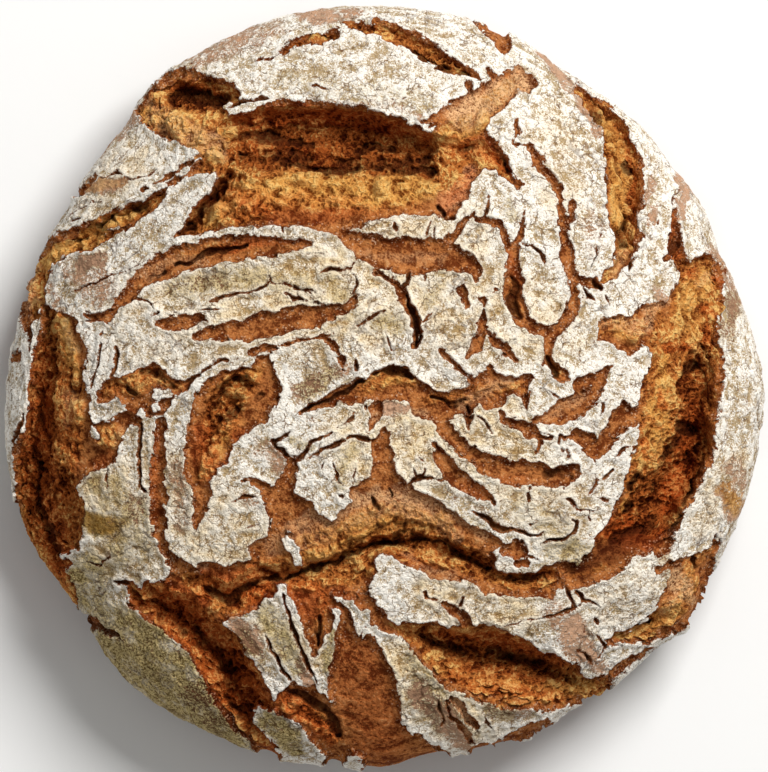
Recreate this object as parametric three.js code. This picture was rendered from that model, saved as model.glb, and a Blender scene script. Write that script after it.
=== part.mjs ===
// A round country rye loaf, baked free on the hearth, as one solid.
//
// Millimetres, +Z up, origin in the middle of the flat sole. The loaf is a low dome that is widest a
// third of the way up and rolls under to the sole. Its floured skin burst in the oven: deep tears run
// round the shoulder, a broad torn bowl crosses the crown, and shallow bands of bare crust part the
// skin into plates. All of that is relief in the one surface: height = dome - tears - bands + crags.

import * as THREE from 'three';
import { ImprovedNoise } from 'three/addons/math/ImprovedNoise.js';

// ---------------------------------------------------------------- driving dimensions
const LOAF_HEIGHT = 88;
const GIRTH_HEIGHT = 30;
const SOLE_SHARE = 0.86; // radius of the flat sole over the radius of the girth
const DOME_FLATNESS = 2.5; // 2 is a round dome, more gives a flatter top and a steeper shoulder
const PLATE_SWELL = 1.3; // rise and fall of the skin from plate to plate
const PLATE_SIZE = 34; // length of one such rise
const CRAG_HEIGHT = 1.5; // roughness of the torn crumb
const CRAG_SIZE = 11;
const CRUST_DEPTH = 1.2; // step from the floured skin down to bare crust
const LOWEST_TEAR = 9; // no tear reaches nearer to the hearth than this
const LIP_POWER = 3; // how squarely a tear's wall drops from its lip
const SLOPE_POWER = 1.25; // how the torn slope on the other side sags
const FULLY_TORN = 4; // a tear this deep is rough all over
const RIM_FADE = 12; // the swell dies out over the last twelfth of the radius

// Radius of the girth every 7.5 degrees, anticlockwise from +X.
const GIRTH_RADII = [
  139.0, 136.4, 133.8, 132.2, 133.8, 132.6, 134.0, 133.0,
  133.3, 135.0, 137.8, 139.0, 139.8, 140.5, 140.8, 140.3,
  140.0, 136.5, 134.9, 133.6, 132.8, 134.1, 135.3, 136.2,
  138.0, 139.8, 140.6, 141.2, 139.1, 140.0, 142.2, 143.4,
  142.8, 142.2, 141.3, 140.6, 139.9, 136.4, 139.0, 139.6,
  137.0, 137.5, 137.8, 140.4, 138.4, 138.4, 138.9, 138.9,
];

// Mesh fineness: cells across the crown, rings from the girth down to the sole.
const CROWN_CELLS = 64;
const BELT_RINGS = 3;
const LIP_SNAP = 1.9; // a grid point this near to a tear's lip is moved onto it
const SNAP_SHARE = 0.97; // outside this share of the radius the grid stays as it is

// ---------------------------------------------------------------- tears
// A tear follows its deepest line. A row is x, y, the reach up to the steep lip on the left of the way
// it runs, the reach of the torn slope on its right, and the depth.
const TEARS = {
  north: [
    [-60, 88, 5, 14, 3], [-50, 88, 10, 26, 6], [-38, 90, 13, 31, 7], [-25, 90, 14, 32, 8], [-10, 88, 14, 29, 8],
    [2, 86, 13, 26, 7], [12, 86, 9, 22, 6], [22, 84, 6, 18, 5], [34, 85, 5, 10, 5], [44, 79, 4, 6, 3],
    [50, 73, 2, 2, 1],
  ],
  northTrench: [
    [-57, 95, 4, 5, 6], [-50, 94, 6, 8, 9], [-42, 93, 9, 9.5, 12], [-32, 92, 11.5, 11, 15],
    [-20, 91, 12.5, 11.5, 16], [-8, 89, 13, 10.5, 16], [2, 87, 12.5, 9.5, 14], [12, 85, 10, 7, 11],
    [19, 82, 6, 4, 6],
  ],
  northWestCave: [
    [-84, 108, 2, 5, 2], [-75, 108, 5, 12, 6], [-65, 107, 6, 14, 8], [-57, 106, 4, 10, 5], [-50, 103, 2, 6, 2],
  ],
  northWest: [
    [-76, 55, 2, 2, 1], [-70, 58, 4, 6, 5], [-63, 64, 5, 8, 8], [-58, 72, 5, 8, 8], [-51, 80, 4, 8, 5],
  ],
  westShoulder: [
    [-121, 48, 3, 4, 3], [-112, 50, 5, 5, 6], [-104, 56, 5, 5, 7], [-97, 61, 5, 4, 6], [-89, 64, 4, 4, 5],
    [-81, 69, 3, 3, 3],
  ],
  westRim: [
    [-125, 26, 4, 4, 4], [-125, 34, 4, 4, 4], [-124, 42, 4, 4, 4], [-121, 50, 3, 3, 3],
  ],
  west: [
    [-112, -81, 3, 3, 2], [-118, -72, 6, 6, 6], [-124, -58, 8, 14, 11], [-128, -45, 7, 19, 14],
    [-128.5, -32, 7, 18, 14], [-127.5, -20, 6, 18, 12], [-126, -8, 5, 18, 10], [-124, 4, 5, 15, 9],
    [-122.5, 14, 5, 12, 8], [-121, 22, 4, 8, 6], [-119, 28, 3, 4, 3],
  ],
  northEast: [
    [69, 111, 3, 3, 2], [76, 104.5, 4, 4, 5], [82, 97, 5, 6, 6], [87, 88, 6, 7, 7], [88, 78, 6, 8, 7],
    [88, 68, 6, 7, 7], [88, 57, 5, 5, 6], [86, 45, 4, 4, 4], [79, 36, 3, 3, 2],
  ],
  eastLedge: [
    [116, 46, 6, 7, 4], [113, 36, 10, 10, 6], [111, 25, 11, 9, 6], [110, 12, 13, 13, 6], [108, 0, 14, 14, 6],
    [106, -12, 14, 14, 6], [102, -24, 16, 13, 6], [97, -36, 16, 9, 7], [90, -46, 13, 5, 5], [83, -54, 11, 4, 3],
    [76, -61, 8, 3, 2], [68, -67, 5, 3, 2],
  ],
  eastTrench: [
    [114, 16, 7, 6, 4], [114, 6, 8, 6, 10], [113, -6, 8, 6, 11], [111, -18, 9, 8, 14], [106, -29, 11, 10, 15],
    [99, -40, 12, 11, 14], [93, -48, 10, 6, 9], [88, -53, 6, 4, 4],
  ],
  southEast: [
    [3, -88, 3, 3, 2], [10, -91, 4, 5, 5], [18, -94, 7, 9, 9], [27, -98, 10, 12, 13], [36, -99, 12, 15, 15],
    [46, -100, 11, 17, 15], [56, -103, 9, 15, 13], [65, -106, 6, 12, 10], [74, -109, 4, 8, 6],
    [82, -112, 3, 4, 3],
  ],
  southWest: [
    [-92, -76, 4, 4, 3], [-84, -79, 8, 7, 6], [-74, -85, 9, 10, 9], [-64, -94, 9, 10, 11],
    [-57, -103, 9, 11, 12], [-53, -112, 10, 10, 10], [-48, -121, 8, 8, 7], [-42, -129, 5, 5, 4],
  ],
  south: [
    [-70, -72, 4, 5, 3], [-56, -78, 6, 7, 6], [-46, -71, 6, 8, 6], [-34, -70, 5, 8, 5], [-23, -68, 4, 8, 6],
    [-12, -63, 4, 10, 7], [-2, -59, 4, 9, 7], [8, -58, 4, 8, 7], [17, -59, 5, 8, 6], [26, -62, 4, 7, 5],
    [35, -67, 5, 6, 4], [45, -71, 5, 5, 4], [60, -71, 4, 5, 4],
  ],
  north2: [
    [-16, 133, 2, 2, 1], [-6, 131, 3, 4, 3], [4, 129, 4, 4, 4], [14, 123, 4, 5, 4], [24, 117.5, 3, 4, 3],
    [34, 112, 2, 2, 1],
  ],
  northRim: [
    [-46, 118.5, 2, 2, 1], [-35, 124, 2.5, 2.5, 2.5], [-26, 127.5, 3, 3, 3], [-19, 129, 3, 3, 3],
  ],
  southEastRim: [
    [80, -92, 3, 3, 2], [90, -91, 3, 4, 3], [98, -88, 4, 4, 5], [106, -85, 4, 4, 3],
  ],
};

// ---------------------------------------------------------------- bands of bare crust
// Shallow channels between the plates of skin. A row is x, y, width. The depth grows with the width.
const BANDS = {
  west: [[-97, 29, 3], [-86, 40, 6], [-78, 45, 10], [-60, 49, 9], [-50, 50.5, 9], [-38, 50.5, 6], [-30, 51, 3]],
  middleWest: [[-68, 18, 3], [-60, 19.5, 6], [-50, 20, 8], [-35, 24, 8], [-24, 25.5, 8], [-14, 28, 4]],
  middleNorth: [[-15, 56, 4], [-5, 52, 6], [4, 49.5, 10], [16, 48, 12], [28, 46, 8], [34, 41, 4]],
  innerSpine: [[-2, 41, 3], [6, 35, 4], [10, 27, 5], [12, 20, 3]],
  eastLong: [
    [48, 97, 3], [50, 90, 3], [58, 78, 4], [64, 66, 4], [66, 50, 5], [69, 36, 5], [66, 24, 5], [59, 15, 5],
    [59, 8, 5], [66, 2, 4],
  ],
  eastShort: [[46, 51, 4], [47, 42, 6], [48, 30, 8], [53, 21, 5], [60, 18, 4]],
  eastSkin: [[70, -8, 7], [76, -1, 6], [83, 8, 4]],
  eastRecess: [[78, 20, 5], [88, 18, 10], [99, 22, 10]],
  northEastRim: [[106, 72, 6], [106, 60, 6], [106, 49, 6]],
  crownBowl: [[-100, 2, 6], [-84, 4, 10], [-68, -2, 12], [-58, -8, 18], [-46, -2, 14], [-34, 6, 8]],
  crownBowlTail: [[-58, -8, 18], [-63, -20, 14], [-67, -34, 7], [-67, -50, 4]],
  westField: [[-103, -3, 8], [-98, -15, 16], [-104, -24, 10]],
  westSlot: [[-81, -12, 4], [-82, -30, 6], [-81.5, -48, 6], [-79, -60, 4], [-69, -68, 6]],
  middle: [[-4, -2, 6], [14, -4, 10], [26, -6, 10], [42, -1, 9], [56, -11, 5]],
  longCurve: [[17, -11, 3], [26, -20, 6], [35, -27, 7], [46, -31.5, 9], [57, -32.5, 9], [68, -31, 5]],
  wedge: [[19, -22, 3], [23, -29, 6], [29, -36, 7], [38, -40, 3]],
  stem: [[1, -16, 3], [-1, -24, 7], [1, -33, 12], [4, -42, 16]],
  stemWest: [[-31, -26, 3], [-33, -31, 5], [-36, -38, 7], [-36, -48, 12]],
  bowl: [[-36, -50, 14], [-20, -54, 20], [0, -50, 22], [16, -52, 18], [32, -57, 16]],
  bowlWest: [[-46, -64, 12], [-34, -58, 14]],
  bowlFlap: [[-8, -74, 5], [0, -84, 5]],
  eastHook: [[87, -7, 5], [86, -13, 6], [79, -21, 6], [68, -17, 4]],
  southSkin: [[-10, -95, 18], [-8, -108, 24], [-6, -122, 22], [0, -131, 10]],
  southWedge: [[-24, -76, 9], [-24, -86, 6], [-25, -95, 3]],
  southBand: [[-34, -110, 6], [-24, -118, 10], [-17, -130, 8]],
};
const BAND_DEPTH_SHARE = 0.3; // depth over width, on top of the crust's own thickness
const DEEPEST_BAND = 3.4;

// ---------------------------------------------------------------- small helpers
const noise = new ImprovedNoise();
const lerp = THREE.MathUtils.lerp;
const clamp = THREE.MathUtils.clamp;

/** Two octaves of smooth noise in about -1 to 1, with waves `size` long. `layer` picks another pattern. */
function crags(x, y, size, layer) {
  const coarse = noise.noise(x / size, y / size, layer);
  const fine = noise.noise((2.1 * x) / size, (2.1 * y) / size, layer + 7.3);
  return coarse + 0.5 * fine;
}

/** Radius of the girth in direction `angle`, on a smooth closed curve through GIRTH_RADII. */
function girthRadius(angle) {
  const count = GIRTH_RADII.length;
  const place = (((angle / (2 * Math.PI)) * count) % count + count) % count;
  const index = Math.floor(place);
  const t = place - index;
  const [before, from, to, after] = [-1, 0, 1, 2].map((step) => GIRTH_RADII[(index + step + count) % count]);
  const fromSlope = (to - before) / 2;
  const toSlope = (after - from) / 2;
  const bend = 3 * (to - from) - 2 * fromSlope - toSlope;
  const twist = fromSlope + toSlope - 2 * (to - from);
  return from + t * (fromSlope + t * (bend + t * twist));
}

/** Where a point lies beside one straight stretch of a line: how far along, and how far to the left. */
function besideStretch(x, y, start, end) {
  const runX = end[0] - start[0];
  const runY = end[1] - start[1];
  const length = Math.hypot(runX, runY);
  const along = clamp(((x - start[0]) * runX + (y - start[1]) * runY) / (length * length), 0, 1);
  const offX = x - lerp(start[0], end[0], along);
  const offY = y - lerp(start[1], end[1], along);
  const isLeft = runX * offY - runY * offX > 0;
  return { along, off: Math.hypot(offX, offY), isLeft };
}

/** Depth of one tear: it falls steeply from the lip on the left and rises slowly on the right. */
function tearDepth(x, y, rows) {
  let deepest = 0;
  for (let i = 0; i + 1 < rows.length; i += 1) {
    const { along, off, isLeft } = besideStretch(x, y, rows[i], rows[i + 1]);
    const side = isLeft ? 2 : 3;
    const reach = lerp(rows[i][side], rows[i + 1][side], along);
    const share = off / reach;
    if (share < 1) {
      const fall = isLeft ? 1 - share ** LIP_POWER : (1 - share) ** SLOPE_POWER;
      deepest = Math.max(deepest, lerp(rows[i][4], rows[i + 1][4], along) * fall);
    }
  }
  return deepest;
}

/** Depth of one band: a shallow channel with a round floor. */
function bandDepth(x, y, rows) {
  let deepest = 0;
  for (let i = 0; i + 1 < rows.length; i += 1) {
    const { along, off } = besideStretch(x, y, rows[i], rows[i + 1]);
    const width = lerp(rows[i][2], rows[i + 1][2], along);
    const share = (2 * off) / width;
    if (share < 1) {
      const depth = Math.min(DEEPEST_BAND, CRUST_DEPTH + BAND_DEPTH_SHARE * width);
      deepest = Math.max(deepest, depth * Math.sqrt(1 - share * share));
    }
  }
  return deepest;
}

/** The point itself, or the nearest point on a tear's lip if that is within LIP_SNAP. */
function onLip(x, y) {
  let nearest = LIP_SNAP;
  let snapped = [x, y];
  for (const rows of Object.values(TEARS)) {
    for (let i = 0; i + 1 < rows.length; i += 1) {
      const { along, off, isLeft } = besideStretch(x, y, rows[i], rows[i + 1]);
      const reach = lerp(rows[i][2], rows[i + 1][2], along);
      const gap = Math.abs(reach - off);
      if (isLeft && along > 0 && along < 1 && gap < nearest) {
        const footX = lerp(rows[i][0], rows[i + 1][0], along);
        const footY = lerp(rows[i][1], rows[i + 1][1], along);
        nearest = gap;
        snapped = [footX + ((x - footX) * reach) / off, footY + ((y - footY) * reach) / off];
      }
    }
  }
  return snapped;
}

const deepestOf = (features, measure) => Math.max(...Object.values(features).map(measure));

/** Height of the crown's surface at x, y, where `share` is the way from the middle to the girth. */
function crownHeight(x, y, share) {
  const dome = GIRTH_HEIGHT + (LOAF_HEIGHT - GIRTH_HEIGHT) * Math.sqrt(1 - share ** DOME_FLATNESS);
  const tear = deepestOf(TEARS, (rows) => tearDepth(x, y, rows));
  const band = deepestOf(BANDS, (rows) => bandDepth(x, y, rows));
  const torn = clamp(tear / FULLY_TORN, 0, 1);
  const inside = clamp((1 - share) * RIM_FADE, 0, 1);
  const swell = inside * (PLATE_SWELL * (crags(x, y, PLATE_SIZE, 3.7) - 1));
  const rough = torn * CRAG_HEIGHT * crags(x, y, CRAG_SIZE, 11.1);
  return Math.max(dome + swell - Math.max(tear, band) + rough, LOWEST_TEAR);
}

// ---------------------------------------------------------------- the one surface
/** A point of the square -1..1 by -1..1 carried onto the round disc: its share of the radius and angle. */
function squareToDisc(a, b) {
  if (a === 0 && b === 0) return { share: 0, angle: 0 };
  const isWide = Math.abs(a) > Math.abs(b);
  const signed = isWide ? a : b;
  const angle = isWide ? (Math.PI / 4) * (b / a) : Math.PI / 2 - (Math.PI / 4) * (a / b);
  return { share: Math.abs(signed), angle: signed < 0 ? angle + Math.PI : angle };
}

/** Crown grid, belt and sole as one closed indexed surface, with its faces pointing out. */
function loafGeometry() {
  const positions = [];
  const faces = [];
  const side = CROWN_CELLS + 1;
  const crownIndex = (column, row) => row * side + column;

  for (let row = 0; row < side; row += 1) {
    for (let column = 0; column < side; column += 1) {
      const a = (2 * column) / CROWN_CELLS - 1;
      const b = (2 * row) / CROWN_CELLS - 1;
      const { share, angle } = squareToDisc(a, b);
      const radius = share * girthRadius(angle);
      const gridX = radius * Math.cos(angle);
      const gridY = radius * Math.sin(angle);
      const [x, y] = share < SNAP_SHARE ? onLip(gridX, gridY) : [gridX, gridY];
      positions.push(x, y, crownHeight(x, y, share));
    }
  }

  // Each cell is split along the diagonal whose ends are nearer in height, so lips stay crisp.
  const heightOf = (vertex) => positions[3 * vertex + 2];
  for (let row = 0; row < CROWN_CELLS; row += 1) {
    for (let column = 0; column < CROWN_CELLS; column += 1) {
      const southWest = crownIndex(column, row);
      const southEast = crownIndex(column + 1, row);
      const northEast = crownIndex(column + 1, row + 1);
      const northWest = crownIndex(column, row + 1);
      const risingStep = Math.abs(heightOf(southWest) - heightOf(northEast));
      const fallingStep = Math.abs(heightOf(southEast) - heightOf(northWest));
      if (risingStep < fallingStep) {
        faces.push(southWest, southEast, northEast, southWest, northEast, northWest);
      } else {
        faces.push(southWest, southEast, northWest, southEast, northEast, northWest);
      }
    }
  }

  // The girth, anticlockwise, as the border of the crown grid.
  const last = CROWN_CELLS;
  const girth = [];
  for (let step = 0; step < last; step += 1) girth.push(crownIndex(last, step));
  for (let step = 0; step < last; step += 1) girth.push(crownIndex(last - step, last));
  for (let step = 0; step < last; step += 1) girth.push(crownIndex(0, last - step));
  for (let step = 0; step < last; step += 1) girth.push(crownIndex(step, 0));

  // The belt rolls under from the girth to the sole along a quarter of an ellipse.
  let upper = girth;
  for (let ring = 1; ring <= BELT_RINGS; ring += 1) {
    const turn = ((Math.PI / 2) * ring) / BELT_RINGS;
    const shrink = SOLE_SHARE + (1 - SOLE_SHARE) * Math.cos(turn);
    const lower = girth.map((vertex) => {
      const x = positions[3 * vertex] * shrink;
      const y = positions[3 * vertex + 1] * shrink;
      const z = ring === BELT_RINGS ? 0 : heightOf(vertex) * (1 - Math.sin(turn));
      positions.push(x, y, z);
      return positions.length / 3 - 1;
    });
    upper.forEach((here, i) => {
      const next = (i + 1) % upper.length;
      faces.push(here, lower[i], lower[next], here, lower[next], upper[next]);
    });
    upper = lower;
  }

  // The flat sole is a fan from its middle.
  positions.push(0, 0, 0);
  const middle = positions.length / 3 - 1;
  upper.forEach((here, i) => faces.push(middle, upper[(i + 1) % upper.length], here));

  const geometry = new THREE.BufferGeometry();
  geometry.setAttribute('position', new THREE.Float32BufferAttribute(positions, 3));
  geometry.setIndex(faces);
  geometry.computeBoundingBox();
  const centre = geometry.boundingBox.getCenter(new THREE.Vector3());
  geometry.translate(-centre.x, -centre.y, 0);
  geometry.computeVertexNormals();
  return geometry;
}

// ---------------------------------------------------------------- the loaf
const crust = new THREE.MeshStandardMaterial({ color: 0xc9b795, roughness: 0.88, metalness: 0 });
const loaf = new THREE.Mesh(loafGeometry(), crust);
loaf.name = 'loaf';

const part = new THREE.Group();
part.add(loaf);

export default part;
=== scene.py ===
# %% [markdown]
# # A torn rye loaf
# A round country loaf is proved in a floured basket, turned out on the hearth and left uncut. In the oven
# the floured skin dries first and the dough goes on swelling below it, so the skin bursts into plates and the
# crumb tears open between them. One surface shows all of that, so the whole loaf is one height field:
# a dome, less its tears, less the step down to bare crust, with rough crumb and flour on top.
#
# The step below opens the frame, the plain solid that every shape here has to follow, and keeps its box.

import bpy
import numpy as np
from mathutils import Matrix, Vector


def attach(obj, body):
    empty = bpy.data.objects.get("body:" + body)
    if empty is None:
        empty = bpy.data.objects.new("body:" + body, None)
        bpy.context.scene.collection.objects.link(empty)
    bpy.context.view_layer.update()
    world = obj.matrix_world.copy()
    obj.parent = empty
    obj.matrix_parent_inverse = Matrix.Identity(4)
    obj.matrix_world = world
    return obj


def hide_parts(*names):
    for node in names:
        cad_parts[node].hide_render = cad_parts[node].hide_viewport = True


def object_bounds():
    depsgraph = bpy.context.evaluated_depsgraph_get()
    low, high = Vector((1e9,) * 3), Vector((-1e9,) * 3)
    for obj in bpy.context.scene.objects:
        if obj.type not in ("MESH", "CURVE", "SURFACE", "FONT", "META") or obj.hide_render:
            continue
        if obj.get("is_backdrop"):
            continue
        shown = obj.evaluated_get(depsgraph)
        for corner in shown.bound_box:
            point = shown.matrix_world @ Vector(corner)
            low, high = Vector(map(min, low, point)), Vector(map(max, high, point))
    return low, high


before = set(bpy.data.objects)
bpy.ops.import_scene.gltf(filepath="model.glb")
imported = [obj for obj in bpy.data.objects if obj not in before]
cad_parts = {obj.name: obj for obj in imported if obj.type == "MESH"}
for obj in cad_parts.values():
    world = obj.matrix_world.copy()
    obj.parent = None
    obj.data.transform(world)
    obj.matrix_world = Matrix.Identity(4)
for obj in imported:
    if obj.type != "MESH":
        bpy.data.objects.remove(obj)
solid_low, solid_high = (np.array(corner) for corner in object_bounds())
MM = 0.001
print("solid's box in mm:", np.round(solid_low / MM, 2), np.round(solid_high / MM, 2))

# %% [markdown]
# ## Noise, the baker's hand
# Nothing on a loaf is even, so nearly every value below is disturbed by noise. Blender has noise in its
# shaders, but here it has to move the mesh too, so it is written out: random numbers sit on the corners of
# a lattice and a smooth curve blends them. A lattice of three dimensions keeps the flanks from stretching.

# %% Smooth noise in three dimensions
TURN = np.array([[0.80, 0.36, -0.48], [-0.60, 0.48, -0.64], [0.0, 0.80, 0.60]])


def corner_value(ix, iy, iz, layer):
    """A repeatable random number from 0 to 1 for each whole-number corner, by products and shifts."""
    h = (ix * 374761393 + iy * 668265263 + iz * 362437101 + layer * 974634777) & 0xFFFFFFFF
    h = ((h ^ (h >> 13)) * 1274126177) & 0xFFFFFFFF
    return ((h ^ (h >> 16)) & 0xFFFFFF) / 0xFFFFFF


def noise(points, size, layer=0):
    """Noise from -1 to 1 with bumps `size` wide: the eight corners round a point, each weighted by
    6t^5 - 15t^4 + 10t^3 along every axis."""
    place = points @ TURN / size + 19.7 * layer
    low = np.floor(place)
    t = place - low
    t = t * t * t * (t * (6 * t - 15) + 10)
    ix, iy, iz = low.astype(np.int64).T
    total = np.zeros(len(points))
    for dx in (0, 1):
        for dy in (0, 1):
            for dz in (0, 1):
                weight = (t[:, 0] if dx else 1 - t[:, 0]) * (t[:, 1] if dy else 1 - t[:, 1])
                weight = weight * (t[:, 2] if dz else 1 - t[:, 2])
                total += weight * corner_value(ix + dx, iy + dy, iz + dz, layer)
    return 2 * total - 1


def rough(points, size, octaves=3, layer=0):
    """Noise in layers, each half as wide and 0.55 as high as the last."""
    return sum(0.55**k * noise(points, size / 2**k, layer + k) for k in range(octaves))


def smooth(t):
    """0 below 0, 1 above 1, and 3t^2 - 2t^3 between."""
    t = np.clip(t, 0, 1)
    return t * t * (3 - 2 * t)


sample_points = np.random.default_rng(5).uniform(-90, 90, (4000, 3))
sample = noise(sample_points, 7.0)
print("noise runs from", sample.min().round(2), "to", sample.max().round(2))

# %% [markdown]
# Torn crumb isn't only rough. The dough stretched before it broke, so its ridges run along the tear, and
# bubbles that opened to the air left pores. Drawn-out noise gives the ridges: it averages noise along a line.
# The distance to the nearest of many scattered points gives the pores.

# %% Ridges and pores
def drawn_out(points, along, size, reach, layer):
    """Noise averaged over seven points spaced along the direction `along`, so its bumps become ridges."""
    steps = np.linspace(-1, 1, 7)
    return 1.9 * sum(noise(points + step * reach * along, size, layer) for step in steps) / len(steps)


def scattered(points, size, layer):
    """Distances, over `size`, to the nearest and the second nearest of points scattered one to a cube, and a
    random number from -1 to 1 that belongs to the nearest."""
    place = points @ TURN / size
    low = np.floor(place).astype(np.int64)
    nearest, second = np.full(len(points), 9.0), np.full(len(points), 9.0)
    chance = np.zeros(len(points))
    for dx in (-1, 0, 1):
        for dy in (-1, 0, 1):
            for dz in (-1, 0, 1):
                cube = low + (dx, dy, dz)
                jitter = np.stack([corner_value(*cube.T, layer + k) for k in (0, 1, 2)], axis=1)
                here = ((cube + jitter - place) ** 2).sum(axis=1)
                second = np.minimum(second, np.maximum(here, nearest))
                chance = np.where(here < nearest, 2 * corner_value(*cube.T, layer + 3) - 1, chance)
                nearest = np.minimum(nearest, here)
    return np.sqrt(nearest), np.sqrt(second), chance


def wander(points, reach, layer):
    """The points moved sideways by noise, up to `reach`. What is drawn over them gets an uneven outline."""
    moves = [noise(points, 7.0, layer + k) + 0.6 * noise(points, 2.7, layer + 3 + k) for k in (0, 1, 2)]
    return points + reach * np.stack(moves, axis=1)


spacing = scattered(sample_points, 3.0, 0)[0].mean()
print("the nearest of the scattered points is", spacing.round(2), "of their size away")

# %% [markdown]
# ## Marks drawn on the loaf
# The burst pattern is drawn as a baker would draw it with a scraper: a stroke is a line with a
# width at each point, and a patch is an outline. What the mesh needs from both is a distance: how far is a
# point outside the mark (above 0) or inside it (below 0)? That one number places the plate edges, their
# step and their colour, and it stays sharp however fine the mesh is.

# %% Distance to strokes and patches
FAR = 4.0  # mm, the distance past which nothing needs to know more


def near(x, y, start, end, reach):
    """Numbers of the points in the box round one stretch of a line, `reach` wider on every side."""
    low_x, high_x = min(start[0], end[0]) - reach, max(start[0], end[0]) + reach
    low_y, high_y = min(start[1], end[1]) - reach, max(start[1], end[1]) + reach
    return np.flatnonzero((x > low_x) & (x < high_x) & (y > low_y) & (y < high_y))


def beside(x, y, start, end):
    """How far along a stretch a point lies, from 0 to 1, how far off it, and whether on its left."""
    run_x, run_y = end[0] - start[0], end[1] - start[1]
    along = ((x - start[0]) * run_x + (y - start[1]) * run_y) / (run_x**2 + run_y**2)
    along = np.clip(along, 0, 1)
    off_x, off_y = x - start[0] - along * run_x, y - start[1] - along * run_y
    return along, np.hypot(off_x, off_y), run_x * off_y - run_y * off_x > 0


def stroke_distance(x, y, rows):
    """Distance to a line of (x, y, width): off the nearest stretch, less half the width there."""
    distance = np.full(x.shape, FAR)
    for start, end in zip(rows[:-1], rows[1:]):
        i = near(x, y, start, end, FAR + max(start[2], end[2]) / 2)
        along, off, _ = beside(x[i], y[i], start, end)
        width = start[2] + along * (end[2] - start[2])
        distance[i] = np.minimum(distance[i], off - width / 2)
    return distance


def patch_distance(x, y, outline):
    """Distance to a closed outline of (x, y), below 0 inside. A point is inside if a line to its right
    crosses the outline an odd number of times."""
    distance = np.full(x.shape, FAR)
    inside = np.zeros(x.shape, bool)
    for start, end in zip(outline, outline[1:] + outline[:1]):
        i = near(x, y, start, end, FAR)
        distance[i] = np.minimum(distance[i], beside(x[i], y[i], start, end)[1])
        if start[1] != end[1]:
            level = np.flatnonzero((start[1] > y) != (end[1] > y))
            cross_x = start[0] + (y[level] - start[1]) * (end[0] - start[0]) / (end[1] - start[1])
            inside[level] ^= x[level] < cross_x
    return np.where(inside, -distance, distance)


here, square = np.zeros(1), [(-1, -1), (1, -1), (1, 1), (-1, 1)]
print("from the middle of a square 2 mm wide to its edge:", patch_distance(here, here, square))

# %% [markdown]
# ## The dome
# The loaf stands on its sole, is widest a third of the way up, and closes in a dome. Its girth isn't a
# circle: the radius is given every 7.5 degrees and a smooth curve runs through the values. A squircle-like
# power makes the top flatter and the shoulder steeper than a ball's.

# %% Girth and dome
LOAF_HEIGHT = 88.0
GIRTH_HEIGHT = 30.0
SOLE_SHARE = 0.86
DOME_FLATNESS = 2.5
GIRTH_RADII = np.array([
    139.0, 136.4, 133.8, 132.2, 133.8, 132.6, 134.0, 133.0, 133.3, 136.0, 138.0, 138.6,
    139.6, 140.4, 140.6, 140.3, 140.0, 139.2, 134.4, 133.6, 132.8, 134.1, 135.3, 136.2,
    138.0, 139.8, 140.8, 142.4, 140.6, 138.6, 142.2, 143.4, 142.8, 142.2, 142.4, 140.6,
    141.6, 138.0, 138.8, 139.6, 137.4, 138.8, 138.0, 142.2, 138.4, 138.4, 138.9, 138.9,
])


def girth_radius(angle):
    """Radius in a direction: a cubic between neighbours whose slope at each is half the step across it."""
    count = len(GIRTH_RADII)
    place = (angle / (2 * np.pi) * count) % count
    index = np.floor(place).astype(int)
    t = place - index
    before, start, end, after = (GIRTH_RADII[(index + step) % count] for step in (-1, 0, 1, 2))
    slope_0, slope_1 = (end - before) / 2, (after - start) / 2
    bend, twist = 3 * (end - start) - 2 * slope_0 - slope_1, slope_0 + slope_1 - 2 * (end - start)
    return start + t * (slope_0 + t * (bend + t * twist))


def dome_height(share):
    """Height at a share of the radius: the girth's height plus the dome's, times sqrt(1 - share^2.5)."""
    return GIRTH_HEIGHT + (LOAF_HEIGHT - GIRTH_HEIGHT) * np.sqrt(np.clip(1 - share**DOME_FLATNESS, 0, 1))


def dome_normal(angle, share, radius):
    """Direction square to the dome: out by the fall of the height per mm, and one up."""
    inner = np.clip(1 - share**DOME_FLATNESS, 1e-6, 1)
    rise = LOAF_HEIGHT - GIRTH_HEIGHT
    fall = rise * DOME_FLATNESS * share ** (DOME_FLATNESS - 1) / (2 * np.sqrt(inner) * radius)
    out = np.stack([fall * np.cos(angle), fall * np.sin(angle), np.ones_like(fall)], axis=1)
    return out / np.linalg.norm(out, axis=1, keepdims=True)


print("dome at the middle, half way and the girth:", dome_height(np.array([0, 0.5, 1.0])).round(1))

# %% [markdown]
# ## Tears
# A tear opens like a page: the skin on one side lifts to a steep lip, and the torn crumb rises slowly on the
# other. So a tear is a line along its deepest place, and each point has two reaches, to the lip on the left
# of the way it runs and up the slope on its right, and a depth.

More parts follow.
